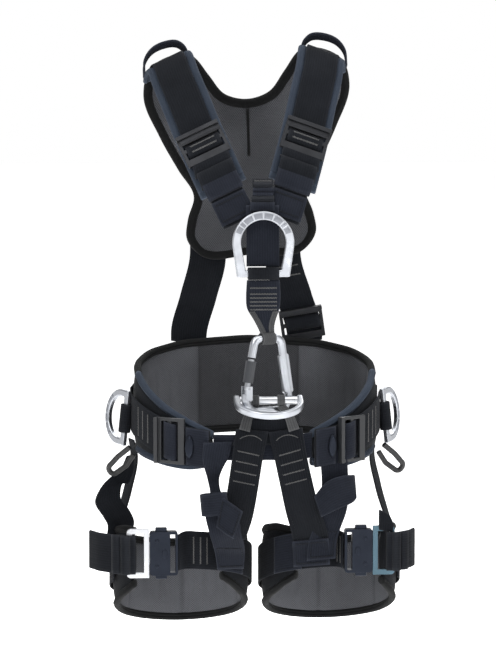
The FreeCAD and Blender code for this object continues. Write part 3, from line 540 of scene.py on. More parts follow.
def sweep(name, band, profile, step=3.0, ripple=0.0, look=None):
    """Mesh of a section carried along a band; ripple is the height of its slow waves."""
    section, margin = profile
    count = max(3, int(round(band.length / step)) + (0 if band.closed else 1))
    along = np.linspace(0, band.length, count, endpoint=not band.closed)
    rows = band.rows(along)
    verts, layout = [], []
    for distance, row in zip(along, rows):
        centre, across, normal, width = row[:3], row[3:6], row[6:9], row[9]
        half = width / 2 - margin
        for share, extra, lift in section:
            if ripple:
                seed = Vector(centre * 0.03 + across * share * 0.35)
                lift += ripple * noise.noise(seed)
            verts.append(centre + across * (share * half + extra) + normal * lift)
            layout.append((share * half + extra, distance))
    faces = loft_faces(count, len(section), closed=band.closed)
    piece = new_piece(name, verts, faces, layout)
    turned_in_out(piece)
    if look:
        dress(piece, look)
    return piece


def turned_in_out(piece):
    """Point every face outwards."""
    work = bmesh.new()
    work.from_mesh(piece.data)
    bmesh.ops.recalc_face_normals(work, faces=work.faces)
    work.to_mesh(piece.data)
    work.free()


def strap(name, band, look, thickness=2.0, body="root", nodes=(), ripple=0.4, crown=0.0):
    """One length of webbing."""
    piece = sweep(name, band, tape_profile(thickness, crown=crown), ripple=ripple, look=look)
    return place_piece(piece, body, *nodes)


# ---------------------------------------------------------------- stitches

class Sewing:
    """Collects single stitches, and makes one mesh of them for each thread."""

    GRAIN = ((0.0, 0.45), (0.22, 1.0), (0.78, 1.0), (1.0, 0.45))     # along, thickness
    SIDES = 5
    SEAM_PITCH, SEAM_THREAD, BAR_PITCH, BAR_THREAD = 3.6, 0.55, 0.9, 0.75

    def __init__(self):
        self.lots = {}

    def stitch(self, start, end, normal, thickness, thread):
        verts, faces, layout = self.lots.setdefault(thread, ([], [], []))
        run = end - start
        length = np.linalg.norm(run)
        side = np.cross(run / length, normal)
        faces.extend(loft_faces(len(self.GRAIN), self.SIDES, len(verts)))
        for share, size in self.GRAIN:
            for k in range(self.SIDES):
                turn = 2 * math.pi * k / self.SIDES
                spoke = side * math.cos(turn) + normal * math.sin(turn) * 0.7
                verts.append(start + run * share + spoke * thickness * size / 2)
                layout.append((turn * thickness, share * length))

    def seam(self, band, start, end, across, lift):
        """A straight run of black stitches along a band."""
        count = max(1, int(abs(end - start) / self.SEAM_PITCH))
        marks = np.linspace(start, end, count + 1)
        rows = band.rows(marks)
        line = band.points(marks, across, lift)
        for i in range(count):
            run = line[i + 1] - line[i]
            self.stitch(line[i] + run * 0.08, line[i + 1] - run * 0.1, rows[i, 6:9],
                        self.SEAM_THREAD, "thread_black")

    def bar(self, band, along, low, high, lift, thread="thread_grey", height=2.0, slant=0.0,
            curve=0.0):
        """A dense zig-zag bar across a band, from low to high; slant and curve bend it."""
        count = max(4, int(abs(high - low) / self.BAR_PITCH))
        shares = np.linspace(0, 1, count + 1)
        across = low + (high - low) * shares
        middle = along + slant * (shares - 0.5) * 2 + curve * (2 * shares - 1)**2
        zigzag = middle + np.where(np.arange(count + 1) % 2, 0.5, -0.5) * height
        line = band.points(zigzag, across, lift)
        normal = band.rows(middle)[:, 6:9]
        for i in range(count):
            self.stitch(line[i], line[i + 1], normal[i], self.BAR_THREAD, thread)

    def make(self):
        for thread, (verts, faces, layout) in self.lots.items():
            piece = new_piece(thread + "_root", verts, faces, layout)
            turned_in_out(piece)
            place_piece(dress(piece, thread), "root")


sewing = Sewing()


# ---------------------------------------------------------------- padding

SEAM_THICKNESS = 0.45           # share of a pad's thickness left at a cross seam
CLOTH_FRAMES, CLOTH_PRESSURE = 20, 4.0


def swell(piece, fixed, cap):
    """Fill a closed shell by cloth simulation; points in fixed stay sewn down.

    No point moves further than cap millimetres."""
    group = piece.vertex_groups.new(name="sewn")
    group.add(fixed, 1.0, "REPLACE")
    cloth = piece.modifiers.new("filling", "CLOTH")
    cloth.settings.vertex_group_mass = "sewn"
    cloth.settings.use_pressure = True
    cloth.settings.uniform_pressure_force = CLOTH_PRESSURE
    cloth.settings.effector_weights.gravity = 0
    cloth.settings.tension_stiffness = cloth.settings.compression_stiffness = 12
    cloth.settings.bending_stiffness = 0.4
    cloth.collision_settings.use_collision = False
    scene = bpy.context.scene
    rest = np.array([v.co for v in piece.data.vertices])
    for number in range(1, CLOTH_FRAMES + 1):
        scene.frame_set(number)
    graph = bpy.context.evaluated_depsgraph_get()
    full = np.array([v.co for v in piece.evaluated_get(graph).data.vertices])
    piece.modifiers.clear()
    scene.frame_set(1)
    move = full - rest
    far = np.linalg.norm(move, axis=1)
    keep = np.where(far > cap * MM, cap * MM / np.maximum(far, 1e-9), 1.0)[:, None]
    final = rest + np.nan_to_num(move * keep)
    piece.data.vertices.foreach_set("co", final.ravel())
    piece.data.update()


def rounded(piece):
    """One subdivision, applied."""
    divide = piece.modifiers.new("round", "SUBSURF")
    divide.levels = divide.render_levels = 1
    baked(piece)


def pad(name, node_name, band, thickness, rim, columns, cap, seams=(), panel=None):
    """A foam pad with sewn edges and cross seams at distances along it.

    panel is the first and last share of the length where its liner is the darker one."""
    profile = lens_profile(thickness, rim, columns)
    section = profile[0]
    piece = sweep(name, band, profile, step=5.0)
    dress(piece, "padding", "mesh_liner", "liner_dark")
    size = len(section)
    count = len(piece.data.vertices) // size
    looks = []
    for row in range(count - 1):
        liner = 2 if panel and panel[0] < (row + 0.5) / (count - 1) < panel[1] else 1
        looks += [0 if section[i][2] + section[(i + 1) % size][2] >= 0 else liner
                  for i in range(size)]
    piece.data.polygons.foreach_set("material_index", looks + [0, 0])
    edge = [i for i in range(size) if abs(section[i][0]) > 0.99]
    marks = {min(count - 1, int(round(seam / band.length * (count - 1)))) for seam in seams}
    fixed = []
    for row in range(count):
        whole = row in marks or row in (0, count - 1)
        chosen = range(size) if whole else edge
        fixed.extend(row * size + i for i in chosen)
    for row in marks:
        along = row / (count - 1) * band.length
        half = band.width(along) / 2
        for i in range(size):
            vertex = piece.data.vertices[row * size + i]
            sewn = band.points(along, section[i][0] * half)[0] * MM
            vertex.co = Vector(sewn).lerp(vertex.co, SEAM_THICKNESS)
    swell(piece, fixed, cap)
    rounded(piece)
    place_piece(piece, "root", node_name)


# ---------------------------------------------------------------- waist belt

GRID = 12
BELT_EDGES = [                  # angle from the spine, top edge, bottom edge
    (0, 67, -54), (36, 63, -56), (60, 56, -59), (84, 45, -61), (96, 37, -62),
    (108, 26, -64), (120, 13, -67), (132, 0, -70), (144, -12, -71), (156, -24, -66),
    (168, -38, -56),
]
BELT_HALF_WIDTH, BELT_HALF_DEPTH = 141, 111
WEB_WIDTH = 45
BELT_WEB_LIFT = 8.8             # the belt's webbing, outside the middle of its padding
BINDING = 10                    # width of the tape round the pads' edges
PLATE_LIFT = 3.6                # middle of an adjuster's plate, above its webbing


def straight(across, *points):
    """Stations that share one direction across, from (x, y, z, width)."""
    return [((x, y, z), across, width) for x, y, z, width in points]


def between(table, key):
    """Values of a table of (key, value, ...) rows, in line between its rows."""
    for low, high in zip(table, table[1:]):
        if key <= high[0]:
            part = (key - low[0]) / (high[0] - low[0])
            return [a + (b - a) * part for a, b in zip(low[1:], high[1:])]
    return list(table[-1][1:])


def belt_band(angles, offset, low, high):
    """A band round the waist between two heights that low and high work out."""
    stations = []
    for angle in angles:
        top, bottom = between(BELT_EDGES, abs(angle))
        z_low, z_high = low(top, bottom), high(top, bottom)
        turn = math.radians(angle)
        centre = ((BELT_HALF_WIDTH + offset) * math.sin(turn),
                  (BELT_HALF_DEPTH + offset) * math.cos(turn), (z_low + z_high) / 2)
        stations.append((centre, UP, z_high - z_low))
    rising = angles[-1] > angles[0]
    return Band(stations, outward=-1 if rising else 1)


def middle(share):
    return lambda top, bottom: (top + bottom) / 2 + share * WEB_WIDTH


FOLD_REACH, FOLD_WIDTH = 9.0, 43            # the webbing inside an adjuster


def threaded(name, band, along, look):
    """Webbing that comes up through an adjuster's slot, over its middle bar and down again."""
    rows = band.rows(along + np.array([-1, -0.55, 0, 0.55, 1]) * FOLD_REACH)
    height = PLATE_LIFT + 3.2
    lifts = (1.6, height - 1.2, height, height - 1.2, 1.6)
    over = Band([(row[:3] + row[6:9] * lift, row[3:6], FOLD_WIDTH)
                 for row, lift in zip(rows, lifts)], step=1.5)
    if np.dot(over.table[0, 6:9], rows[0, 6:9]) < 0:
        over.table[:, 6:9] *= -1
    strap(name, over, look, thickness=1.8, ripple=0.0)
    return over


def rounded_corners(work, radius):
    """Rounds a flat frame's four outer corners, whose edges run through its thickness."""
    places = np.array([vert.co for vert in work.verts])
    low, high = places.min(axis=0), places.max(axis=0)
    corners = []
    for edge in work.edges:
        near = [min(abs(edge.verts[0].co[i] - low[i]), abs(edge.verts[0].co[i] - high[i]))
                for i in (0, 2)]
        run = edge.verts[1].co - edge.verts[0].co
        if max(near) < 0.3 * MM and abs(run.y) > 0.95 * run.length:
            corners.append(edge)
    bmesh.ops.bevel(work, geom=corners, offset=radius * MM, segments=5, profile=0.5,
                    affect="EDGES")


def refined(node_name, body, look, bevel=0.7, corner=0.0):
    """A CAD piece with its sharp edges eased, standing for the plain one."""
    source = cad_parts[node_name]
    work = bmesh.new()
    work.from_mesh(source.data)
    bmesh.ops.remove_doubles(work, verts=work.verts, dist=0.01 * MM)
    bmesh.ops.dissolve_limit(work, angle_limit=math.radians(2), verts=work.verts,
                             edges=work.edges)
    if corner:
        rounded_corners(work, corner)
    mesh = bpy.data.meshes.new(node_name + "_body")
    work.to_mesh(mesh)
    work.free()
    mesh.materials.clear()
    piece = link(node_name + "_body", mesh)
    ease = piece.modifiers.new("ease", "BEVEL")
    ease.width = bevel * MM
    ease.segments = 3
    ease.limit_method = "ANGLE"
    ease.angle_limit = math.radians(35)
    baked(piece)
    piece.data.polygons.foreach_set("use_smooth", [True] * len(piece.data.polygons))
    flat = piece.modifiers.new("normals", "WEIGHTED_NORMAL")
    flat.keep_sharp = True
    baked(piece)
    place_piece(dress(piece, look), body, node_name)


def node_middle(name):
    low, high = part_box(name)
    return (low + high) / 2


SIDE_BAR, SIDE_BAR_LEAN = (156, -12, -20), math.radians(6)      # right side ring's bar


def side_bar(sign):
    """Middle and direction of a side ring's bar."""
    x, y, z = SIDE_BAR
    return (sign * x, y, z), (-sign * math.sin(SIDE_BAR_LEAN), 0, math.cos(SIDE_BAR_LEAN))


def make_belt():
    wing = [turn * GRID for turn in range(-13, 14)]
    inset = BINDING * 0.8
    band = belt_band(wing, 0, lambda top, bottom: bottom + inset,
                     lambda top, bottom: top - inset)
    seams = [band.length * share for share in (0.235, 0.405, 0.595, 0.765)]
    pad("belt_padding", "belt_pad", band, 10.5, 4.5, 20, 1.6, seams, panel=(0.405, 0.595))

    for label, low, high in (
            ("upper", lambda top, bottom: top - BINDING, lambda top, bottom: top),
            ("lower", lambda top, bottom: bottom, lambda top, bottom: bottom + BINDING)):
        rear = belt_band([turn * GRID for turn in range(-8, 9)], 0, low, high)
        edge_tape("belt_binding_%s_rear" % label, rear, "binding_black", "belt_binding")
        for side, sign in SIDES:
            angles = [sign * turn * GRID for turn in range(8, 14)]
            front = belt_band(angles, 0, low, high)
            edge_tape("belt_binding_%s_%s" % (label, side), front, "binding_blue",
                      "belt_binding")

    rear = [turn * GRID for turn in range(-7, 8)]
    webbing = belt_band(rear, BELT_WEB_LIFT, middle(-0.5), middle(0.5))
    strap("belt_webbing_rear", webbing, "webbing_black", nodes=("belt_webbing",))
    for share in (0.06, 0.10, 0.33, 0.37, 0.63, 0.67, 0.90, 0.94):
        sewing.bar(webbing, webbing.length * share, -17, 17, 1.3)

    for side, sign in SIDES:
        angles = [sign * angle for angle in (96, 102, 108, 120, 132, 144, 156)]
        band = belt_band(angles, BELT_WEB_LIFT, middle(-0.5), middle(0.5))
        strap("belt_strap_web_" + side, band, "webbing_black",
              nodes=("belt_strap_" + side,))
        cuff("belt_ring_cuff_" + side, *side_bar(sign), 34, "webbing_black")
        node_name = "belt_adjuster_" + side
        refined(node_name, "root", "adjuster_dark", corner=3)
        along = band.nearest(node_middle(node_name))
        for ahead in (60, 49, 38):
            sewing.bar(band, along - ahead, -17, 17, 1.3, height=2.4)
        threaded("belt_strap_fold_" + side, band, along, "webbing_navy")
        tail = band.part(along + 22, band.length - 1, lift=2.6, width=44)
        strap("belt_strap_tail_" + side, tail, "webbing_navy", ripple=0.8)
        row = band.rows(along + 27)[0]
        stud("belt_tab_" + side, row[:3] + row[6:9] * 4.5, row[6:9], 13, 2.2, stretch=0.4)


def edge_tape(name, band, look, *nodes, thickness=8.5):
    """Tape folded round a pad's edge, its flattish sides rounding over into both edges."""
    profile = tape_profile(thickness, columns=4, crown=0.5, edge=5)
    piece = sweep(name, band, profile, ripple=0.35, look=look)
    place_piece(piece, "root", *nodes)


# ---------------------------------------------------------------- back pad and shoulders

LEAN = (Matrix.Translation((0, 0, 250)) @ Matrix.Rotation(math.radians(-3), 4, "Y")
        @ Matrix.Translation((0, 0, -250)))
BACK_PROFILE = [                # height, distance behind the waist centre
    (150, 93), (168, 93), (210, 88), (250, 80), (280, 73), (316, 64), (364, 48), (395, 36),
    (430, 20),
]
BACK_OUTLINE = [                # right half of the upright back pad, neck to hem
    (0, 360), (26, 367), (46, 392), (66, 416), (116, 402), (125, 372), (108, 320), (87, 278),
    (69, 244), (78, 214), (80, 192), (66, 172), (0, 168),
]
SHOULDER_ROUTE = [              # right shoulder, over the top and down to the chest
    (95, 28, 397), (94, 16, 404), (91, 2, 408), (85, -18, 388), (75, -34, 358), (65, -48, 327),
    (54, -64, 296), (42, -80, 264), (31, -93, 236),
]
CHEST_END = (24, -98, 219)      # where the chest straps end, tucked behind the ring
CHEST_SHIFT = 3
SHOULDER_WEB_LIFT = 5.8
DORSAL_WEB_GAP, DORSAL_LAYER = 13.8, 2.8    # behind the pad's middle, and between the two straps


def back_depth(height):
    heights, depths = zip(*BACK_PROFILE)
    return float(hermite(heights, np.array(depths)[:, None], [height])[0, 0])


def back_frame(x, z):
    """Centre and outward (rearward) direction of the back pad's sheet."""
    slope = back_depth(z + 1) - back_depth(z - 1)
    return Vector((x, back_depth(z), z)), Vector((0, 2, -slope)).normalized()


def make_back():
    half = [Vector((x, 0, z)) for x, z in BACK_OUTLINE]
    loop = half + [Vector((-p.x, 0, p.z)) for p in reversed(half[1:-1])]
    stations = []
    for i, point in enumerate(loop):
        along = loop[(i + 1) % len(loop)] - loop[i - 1]
        outward = Vector((-along.z, 0, along.x)).normalized()
        if i not in (0, len(half) - 1) and outward.dot(point - Vector((0, 0, 300))) < 0:
            outward = outward if abs(point.x) < 50 and point.z > 350 else -outward
        inset = outward * (BINDING / 2 + 1)
        spot = point - inset
        centre, _ = back_frame(spot.x, spot.z)
        slope = back_depth(spot.z + 1) - back_depth(spot.z - 1)        # over 2 mm
        across = Vector((outward.x, slope / 2 * outward.z, outward.z))
        stations.append((centre, across, BINDING + 2))
    rim = Band(stations, place=LEAN, closed=True)
    edge_tape("back_binding_tape", rim, "binding_black", "back_binding", thickness=9)

    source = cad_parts["back_pad"]
    piece = link("back_padding", source.data.copy())
    piece.data.materials.clear()
    remesh = piece.modifiers.new("voxels", "REMESH")
    remesh.mode = "VOXEL"
    remesh.voxel_size = 4.5 * MM
    baked(piece)
    flatten_back(piece)
    reach_rim(piece, rim)
    pinned = [v.index for v in piece.data.vertices if rim_distance(rim, v.co) < 9]
    swell(piece, pinned, 1.8)
    rounded(piece)
    back_layout(piece)
    dress(piece, "mesh_liner", "padding")
    place_piece(piece, "root", "back_pad")
    make_back_seams()
    make_dorsal_webbing()


def rim_distance(rim, point):
    gaps = rim.table[:, :3] - np.array(point) / MM
    return float(np.min(np.linalg.norm(gaps, axis=1)))


def reach_rim(piece, rim):
    """Stretch the pad's edge out to the middle of its binding."""
    edge, inner = 7.5, 24
    for vertex in piece.data.vertices:
        point = np.array(vertex.co) / MM
        gaps = np.linalg.norm(rim.table[:, :3] - point, axis=1)
        nearest = int(np.argmin(gaps))
        row = rim.table[nearest]
        across = float((point - row[:3]) @ row[3:6])
        if gaps[nearest] < inner and across < 0:
            depth = -across
            wanted = max(0.0, (depth - edge) * inner / (inner - edge))
            thin = 0.55 + 0.45 * min(1, wanted / inner)
            lift = float((point - row[:3]) @ row[6:9])
            point = point + row[3:6] * (depth - wanted) - row[6:9] * lift * (1 - thin)
            vertex.co = Vector(point * MM)


def flatten_back(piece):
    """Thin the pad and smooth the remeshed edge."""
    upright = LEAN.inverted()
    for vertex in piece.data.vertices:
        local = upright @ (vertex.co / MM)
        centre, rearward = back_frame(local.x, local.z)
        depth = (local - centre).dot(rearward)
        local -= rearward * depth * 0.22
        vertex.co = (LEAN @ local) * MM
    work = bmesh.new()
    work.from_mesh(piece.data)
    for _ in range(3):
        bmesh.ops.smooth_vert(work, verts=work.verts, factor=0.5, use_axis_x=True,
                              use_axis_z=True)
    work.to_mesh(piece.data)
    work.free()


def back_layout(piece):
    """Lay the weave out flat, and give the rear face the outer fabric."""
    mesh = piece.data
    upright = LEAN.inverted()
    layer = mesh.uv_layers.new(name="layout")
    for polygon in mesh.polygons:
        polygon.material_index = 1 if polygon.normal.y > 0.3 else 0
        polygon.use_smooth = True
        for index in polygon.loop_indices:
            local = upright @ (mesh.vertices[mesh.loops[index].vertex_index].co / MM)
            layer.data[index].uv = (local.x * MM, local.z * MM)


def make_back_seams():
    """The liner's panel seam, a narrow tape down from the neck."""
    stations = []
    for z in np.linspace(350, 292, 6):
        centre, rearward = back_frame(0, z)
        stations.append((centre - rearward * (5.4 + (350 - z) * 0.03), (1, 0, 0), 3.4))
    seam = Band(stations, place=LEAN)
    piece = sweep("back_seam_neck", seam, tape_profile(1.0, columns=4, crown=0.3),
                  look="binding_black")
    place_piece(piece, "root")


def make_dorsal_webbing():
    """The two straps that cross behind the dorsal ring, and the cuff round its bar."""
    for layer, (side, sign) in enumerate(SIDES):
        stations = []
        for x, z in ((88, 372), (62, 322), (36, 280), (12, 244), (-12, 208), (-30, 180)):
            depth = between(BACK_PROFILE, z)[0] + DORSAL_WEB_GAP + layer * DORSAL_LAYER
            stations.append(((sign * x, depth, z), (0.87, 0, -0.5 * sign), WEB_WIDTH))
        band = Band(stations, place=LEAN, outward=-1)
        strap("dorsal_web_" + side, band, "webbing_black", nodes=("dorsal_webbing",))
        for along in (6, 14, 120, 128, band.length - 16, band.length - 8):
            sewing.bar(band, along, -17, 17, 1.3)
    cuff("dorsal_cuff", LEAN @ Vector((0, 108, 236)), LEAN.to_3x3() @ Vector((1, 0, 0)), 32,
         "webbing_black")


def cuff(name, centre, direction, length, look, inner=5.5, outer=7.3):
    """Webbing sewn round a bar."""
    direction = Vector(direction).normalized()
    side = direction.orthogonal().normalized()
    other = direction.cross(side)
    stations = []
    count = 16
    for step in range(count):
        turn = 2 * math.pi * step / count
        spoke = side * math.cos(turn) + other * math.sin(turn)
        stations.append((Vector(centre) + spoke * (inner + outer) / 2, direction, length))
    piece = sweep(name, Band(stations, closed=True, step=2.0),
                  tape_profile(outer - inner, columns=8), step=2.0, look=look)
    place_piece(piece, "root")


def shoulder_band(sign, width, lift=0.0, rows=10):
    route = SHOULDER_ROUTE + [CHEST_END]
    stations = [((sign * x - CHEST_SHIFT, y, z), (0.92, 0, -0.38 * sign), width)
                for x, y, z in route[:rows]]
    band = Band(stations, place=LEAN)
    band.table[:, :3] += band.table[:, 6:9] * lift
    return band


def make_shoulders():
    tape, full_width = 11, 58
    for side, sign in SIDES:
        core = shoulder_band(sign, full_width - tape, rows=8)
        pad("shoulder_padding_" + side, "shoulder_pad_" + side, core, 7.0, 4.2, 10, 0.8)
        for edge in (-1, 1):
            rim = core.part(0, core.length, width=tape, shift=edge * (full_width - tape) / 2)
            edge_tape("shoulder_binding_%s_%s" % (side, "inner" if edge == -sign else "outer"),
                      rim, "binding_blue", thickness=6.5)
        end = core.part(core.length - 1, core.length + 7, width=full_width)
        edge_tape("shoulder_hem_" + side, end, "binding_blue", thickness=5.5)

        web = shoulder_band(sign, 40, SHOULDER_WEB_LIFT - 0.6)
        strap("chest_web_" + side, web, "webbing_black", nodes=("chest_webbing_" + side,))
        node_name = "shoulder_adjuster_" + side
        refined(node_name, "root", "adjuster_black")
        along = web.nearest(node_middle(node_name))
        over = threaded("chest_fold_" + side, web, along, "webbing_black")
        for shift in (-3.25, 3.25):
            sewing.bar(over, over.length / 2 + shift, -FOLD_WIDTH * 0.36, FOLD_WIDTH * 0.36, 1.1)
        lip = web.part(along - 21, along - 8.5, lift=PLATE_LIFT + 2.4, width=52)
        strap("shoulder_adjuster_lip_" + side, lip, "adjuster_black", thickness=3.4,
              ripple=0, crown=0.8)
        for number, (near, far, height, look) in enumerate((
                (15, 33, 6.0, "webbing_black"), (29, 49, 8.5, "webbing_black"),
                (43, 66, 7.0, "webbing_navy"))):
            folded("chest_keeper_%s_%d" % (side, number), web, along + near, along + far,
                   height, look, width=46 - number, skew=(2 - number) * 2.5 * sign)
        patch = web.part(web.length - 32, web.length - 3, lift=2.2, width=42)
        strap("chest_patch_" + side, patch, "webbing_navy", thickness=1.8)
        for edge in (-17, 17):
            sewing.seam(patch, 3, patch.length - 3, edge, 1.1)
        for along in (5, patch.length - 5):
            sewing.bar(patch, along, -17, 17, 1.1, thread="thread_black")
        make_carry_loop(side, sign)


def folded(name, band, start, end, height, look, width=44, skew=0.0, body="root"):
    """A loop of webbing lying on a band: it rises, runs level and turns back under."""
    marks = np.array([start, start + 1.5, start + 5, end - 5, end - 1.2, end])
    lifts = np.array([1.4, height * 0.75, height, height * 0.9, height * 0.7, 1.4])
    rows = band.rows(marks)
    stations = []
    for i, (row, lift) in enumerate(zip(rows, lifts)):
        swing = skew * (i / (len(marks) - 1) - 0.5)
        stations.append((row[:3] + row[6:9] * lift + row[3:6] * swing, row[3:6], width))
    over = Band(stations, step=1.5)
    if np.dot(over.table[len(over.table) // 2, 6:9], rows[2, 6:9]) < 0:
        over.table[:, 6:9] *= -1
    strap(name, over, look, thickness=1.9, body=body, ripple=0.5)


def make_carry_loop(side, sign):
    ends = [(68, 12, 413), (71, 11, 422), (79, 11, 429), (97, 11, 428.5), (112, 11, 421),
            (120, 11.5, 409), (121, 13, 395)]
    stations = [((sign * x - CHEST_SHIFT, y, z), (0.05 * sign, 0.8, -0.55), 14)
                for x, y, z in ends]
    band = Band(stations, place=LEAN, outward=1)
    strap("carry_loop_tape_" + side, band, "webbing_navy", thickness=2.6,
          nodes=("carry_loops",), crown=0.3)


# ---------------------------------------------------------------- chest ring and connector

CHEST_BAR = Vector((0, -118, 160))
CONNECTOR_AT = Vector((3.7, -119, 0))
CONNECTOR_TURN = Matrix.Rotation(math.radians(27), 3, "Z")
EYE = Vector((1, 0, 85))        # middle of the carabiner's straight top, in its own plane


def make_chest():
    upper = Band(straight(RIGHT, (0, -104, 238, 38), (0, -108, 222, 38), (0, -112, 200, 38),
                          (0, -112.5, 180, 38), (0, -112.5, 168, 38)))
    strap("sternal_web", upper, "webbing_navy", nodes=("sternal_webbing",), ripple=0.2)
    cuff("sternal_cuff", CHEST_BAR, (1, 0, 0), 36, "webbing_black")
    stack = Band(straight(RIGHT, (1, -96, 268, 24), (1, -100, 252, 24), (0, -104, 238, 26),
                          (0, -107, 226, 30)))
    strap("chest_stack_base", stack, "webbing_black", thickness=2.4, ripple=0)
    for number, (start, end, look) in enumerate((
            (4, 10, "webbing_black"), (11, 20, "webbing_navy"), (21, 27, "webbing_black"),
            (28, 38, "webbing_navy"))):
        folded("chest_stack_%d" % number, stack, start, end, 3.6 - 0.3 * number, look,
               width=22 + 2 * number)

    for along_mm in (2.5, 10.5):
        sewing.bar(stack, along_mm, -10, 10, 1.6)
    eye = CONNECTOR_AT + CONNECTOR_TURN @ EYE
    along = CONNECTOR_TURN @ Vector((1, 0, 0))
    lower = Band(straight(RIGHT, (0, -118, 152.5, 38), (0, -118, 145, 39), (0, -118, 134, 40),
                          (0, -118.5, 119, 37))
                 + [((1.5, -118.7, 107), (1, 0.1, 0), 26), ((2.8, -119, 98), (1, 0.3, 0), 20),
                    (eye + Vector((0, 0, 6)), along, 18)])
    strap("sternal_connector_web", lower, "webbing_navy", thickness=3,
          nodes=("sternal_connector",), ripple=0.15)
    cuff("carabiner_hoop", eye, along, 18, "webbing_grey", inner=5.3, outer=7.1)
    for along_mm in (9, 16, 20.5, 25, 29.5, 34):
        sewing.bar(lower, along_mm, -15.5, 15.5, 1.8)
    for side, sign in SIDES:
        stations = []
        for distance in np.linspace(36, lower.length, 7):
            row = lower.rows(distance)[0]
            half = row[9] / 2 - 3.6
            stations.append((row[:3] + row[3:6] * sign * half + row[6:9] * 1.4, row[3:6], 7))
        strap("connector_edge_" + side, Band(stations), "webbing_grey", thickness=1.6, ripple=0)


# ---------------------------------------------------------------- ventral ring and risers

VENTRAL_BAR = Vector((6, -118, 13))
BRIDGE_LOOPS = ((-9.5, -22, -116), (20.5, 36, -121.5))
LEG_CENTRE_HEIGHT, LEG_SLOPE = -202, 0.42
RISERS = {
    "left": [(-12.5, -115, -22, 38, 0.0), (-17, -115, -48, 36, 0.0), (-22, -110, -84, 36, 0.1),
             (-27, -100, -120, 38, 0.3), (-33, -76, -158, 42, 0.8)],
    "right": [(26, -115, -22, 40, 0.0), (31, -115, -48, 38, 0.0), (39, -110, -84, 38, -0.1),
              (48, -101, -120, 40, -0.2), (57, -91, -148, 42, -0.2), (60, -84, -168, 42, -0.25),
              (61, -81, -186, 42, -0.3)],
}


def make_ventral():
    for number, (x, foot, depth) in enumerate(BRIDGE_LOOPS):
        side = "left" if number == 0 else "right"
        cuff("bridge_cuff_" + side, (x, VENTRAL_BAR.y, VENTRAL_BAR.z), (1, 0, 0), 9,
             "webbing_grey", inner=4.9, outer=6.5)
        lean = (1, 0, 0.3 if x > 0 else -0.3)
        tail = Band([((x, depth, 7.1), lean, 10), ((x + (foot - x) * 0.4, depth, 0), lean, 10.5),
                     ((foot, -118.2, -22), lean, 13)])
        strap("bridge_tail_" + side, tail, "webbing_grey", thickness=1.8, ripple=0,
              nodes=("ventral_bridges",) if number == 0 else ())
    panel = Band(straight(RIGHT, (6.5, -112, -9, 56), (6.5, -112, -24, 72),
                          (6.5, -112, -40, 84)))
    strap("ventral_web_panel", panel, "webbing_black", nodes=("ventral_panel",))
    band = Band(straight(UP, (-57, -105, -43, 30), (-30, -108.5, -43, 30), (6, -108.8, -43, 30),
                         (42, -108.5, -43, 30), (58, -105, -41, 30)))
    strap("front_belt_band", band, "webbing_navy", nodes=("front_band",))


def box_stitch(band, start, end, half, lift):
    """Black stitches round a sewn-down patch."""
    for edge in (-half, half):
        sewing.seam(band, start, end, edge, lift)
    for along in (start, end):
        sewing.bar(band, along, -half, half, lift, thread="thread_black", height=1.0)


def make_keepers():
    """Spare hip strap folded back on itself, and a frayed tail on the right leg's tongue."""
    loop = [(-72, -119.5), (-69, -123.5), (-52, -126.5), (-43, -125), (-42, -121.5),
            (-52, -119.5), (-69, -116)]
    bow = Band([((x, y, -107 + 0.1 * (x + 57)), (-0.1, 0, 1), 26) for x, y in loop],
               closed=True, step=2.0)
    strap("hip_bow_left", bow, "webbing_navy", thickness=1.8, ripple=0.5)
    tail = Band([((-52, -126, -115), (0.16, 0, 1), 37), ((-41, -129, -123), (0.25, 0, 1), 36),
                 ((-30, -126, -131), (0.35, 0, 1), 34)])
    strap("hip_tail_left", tail, "webbing_navy", thickness=2.4, ripple=0.6)
    box_stitch(tail, 3, tail.length - 3, 14, 1.4)
    bow = Band([((64.6, -110, -113.5), (-0.34, 0, 0.94), 26),
                ((79, -113, -101), (-0.2, 0, 0.98), 36), ((95, -111, -95), (-0.1, 0, 1), 36),
                ((106, -106, -93), (0, 0.3, 1), 32), ((109, -101, -92), (0, 0.6, 1), 30)],
               outward=-1)
    strap("hip_bow_right", bow, "webbing_navy", thickness=3.0, ripple=1.0)
    sewing.bar(bow, 7, -8, 8, 1.7, thread="thread_black")
    frayed = Band([((147, -93, -146), (1, 0, -0.2), 17), ((147, -95, -135), (1, 0.1, -0.3), 19),
                   ((145, -92, -124), (1, 0.2, -0.5), 15)])
    strap("leg_tail_right", frayed, "webbing_black", thickness=2.2, body="leg_tongue_right",
          ripple=1.0)


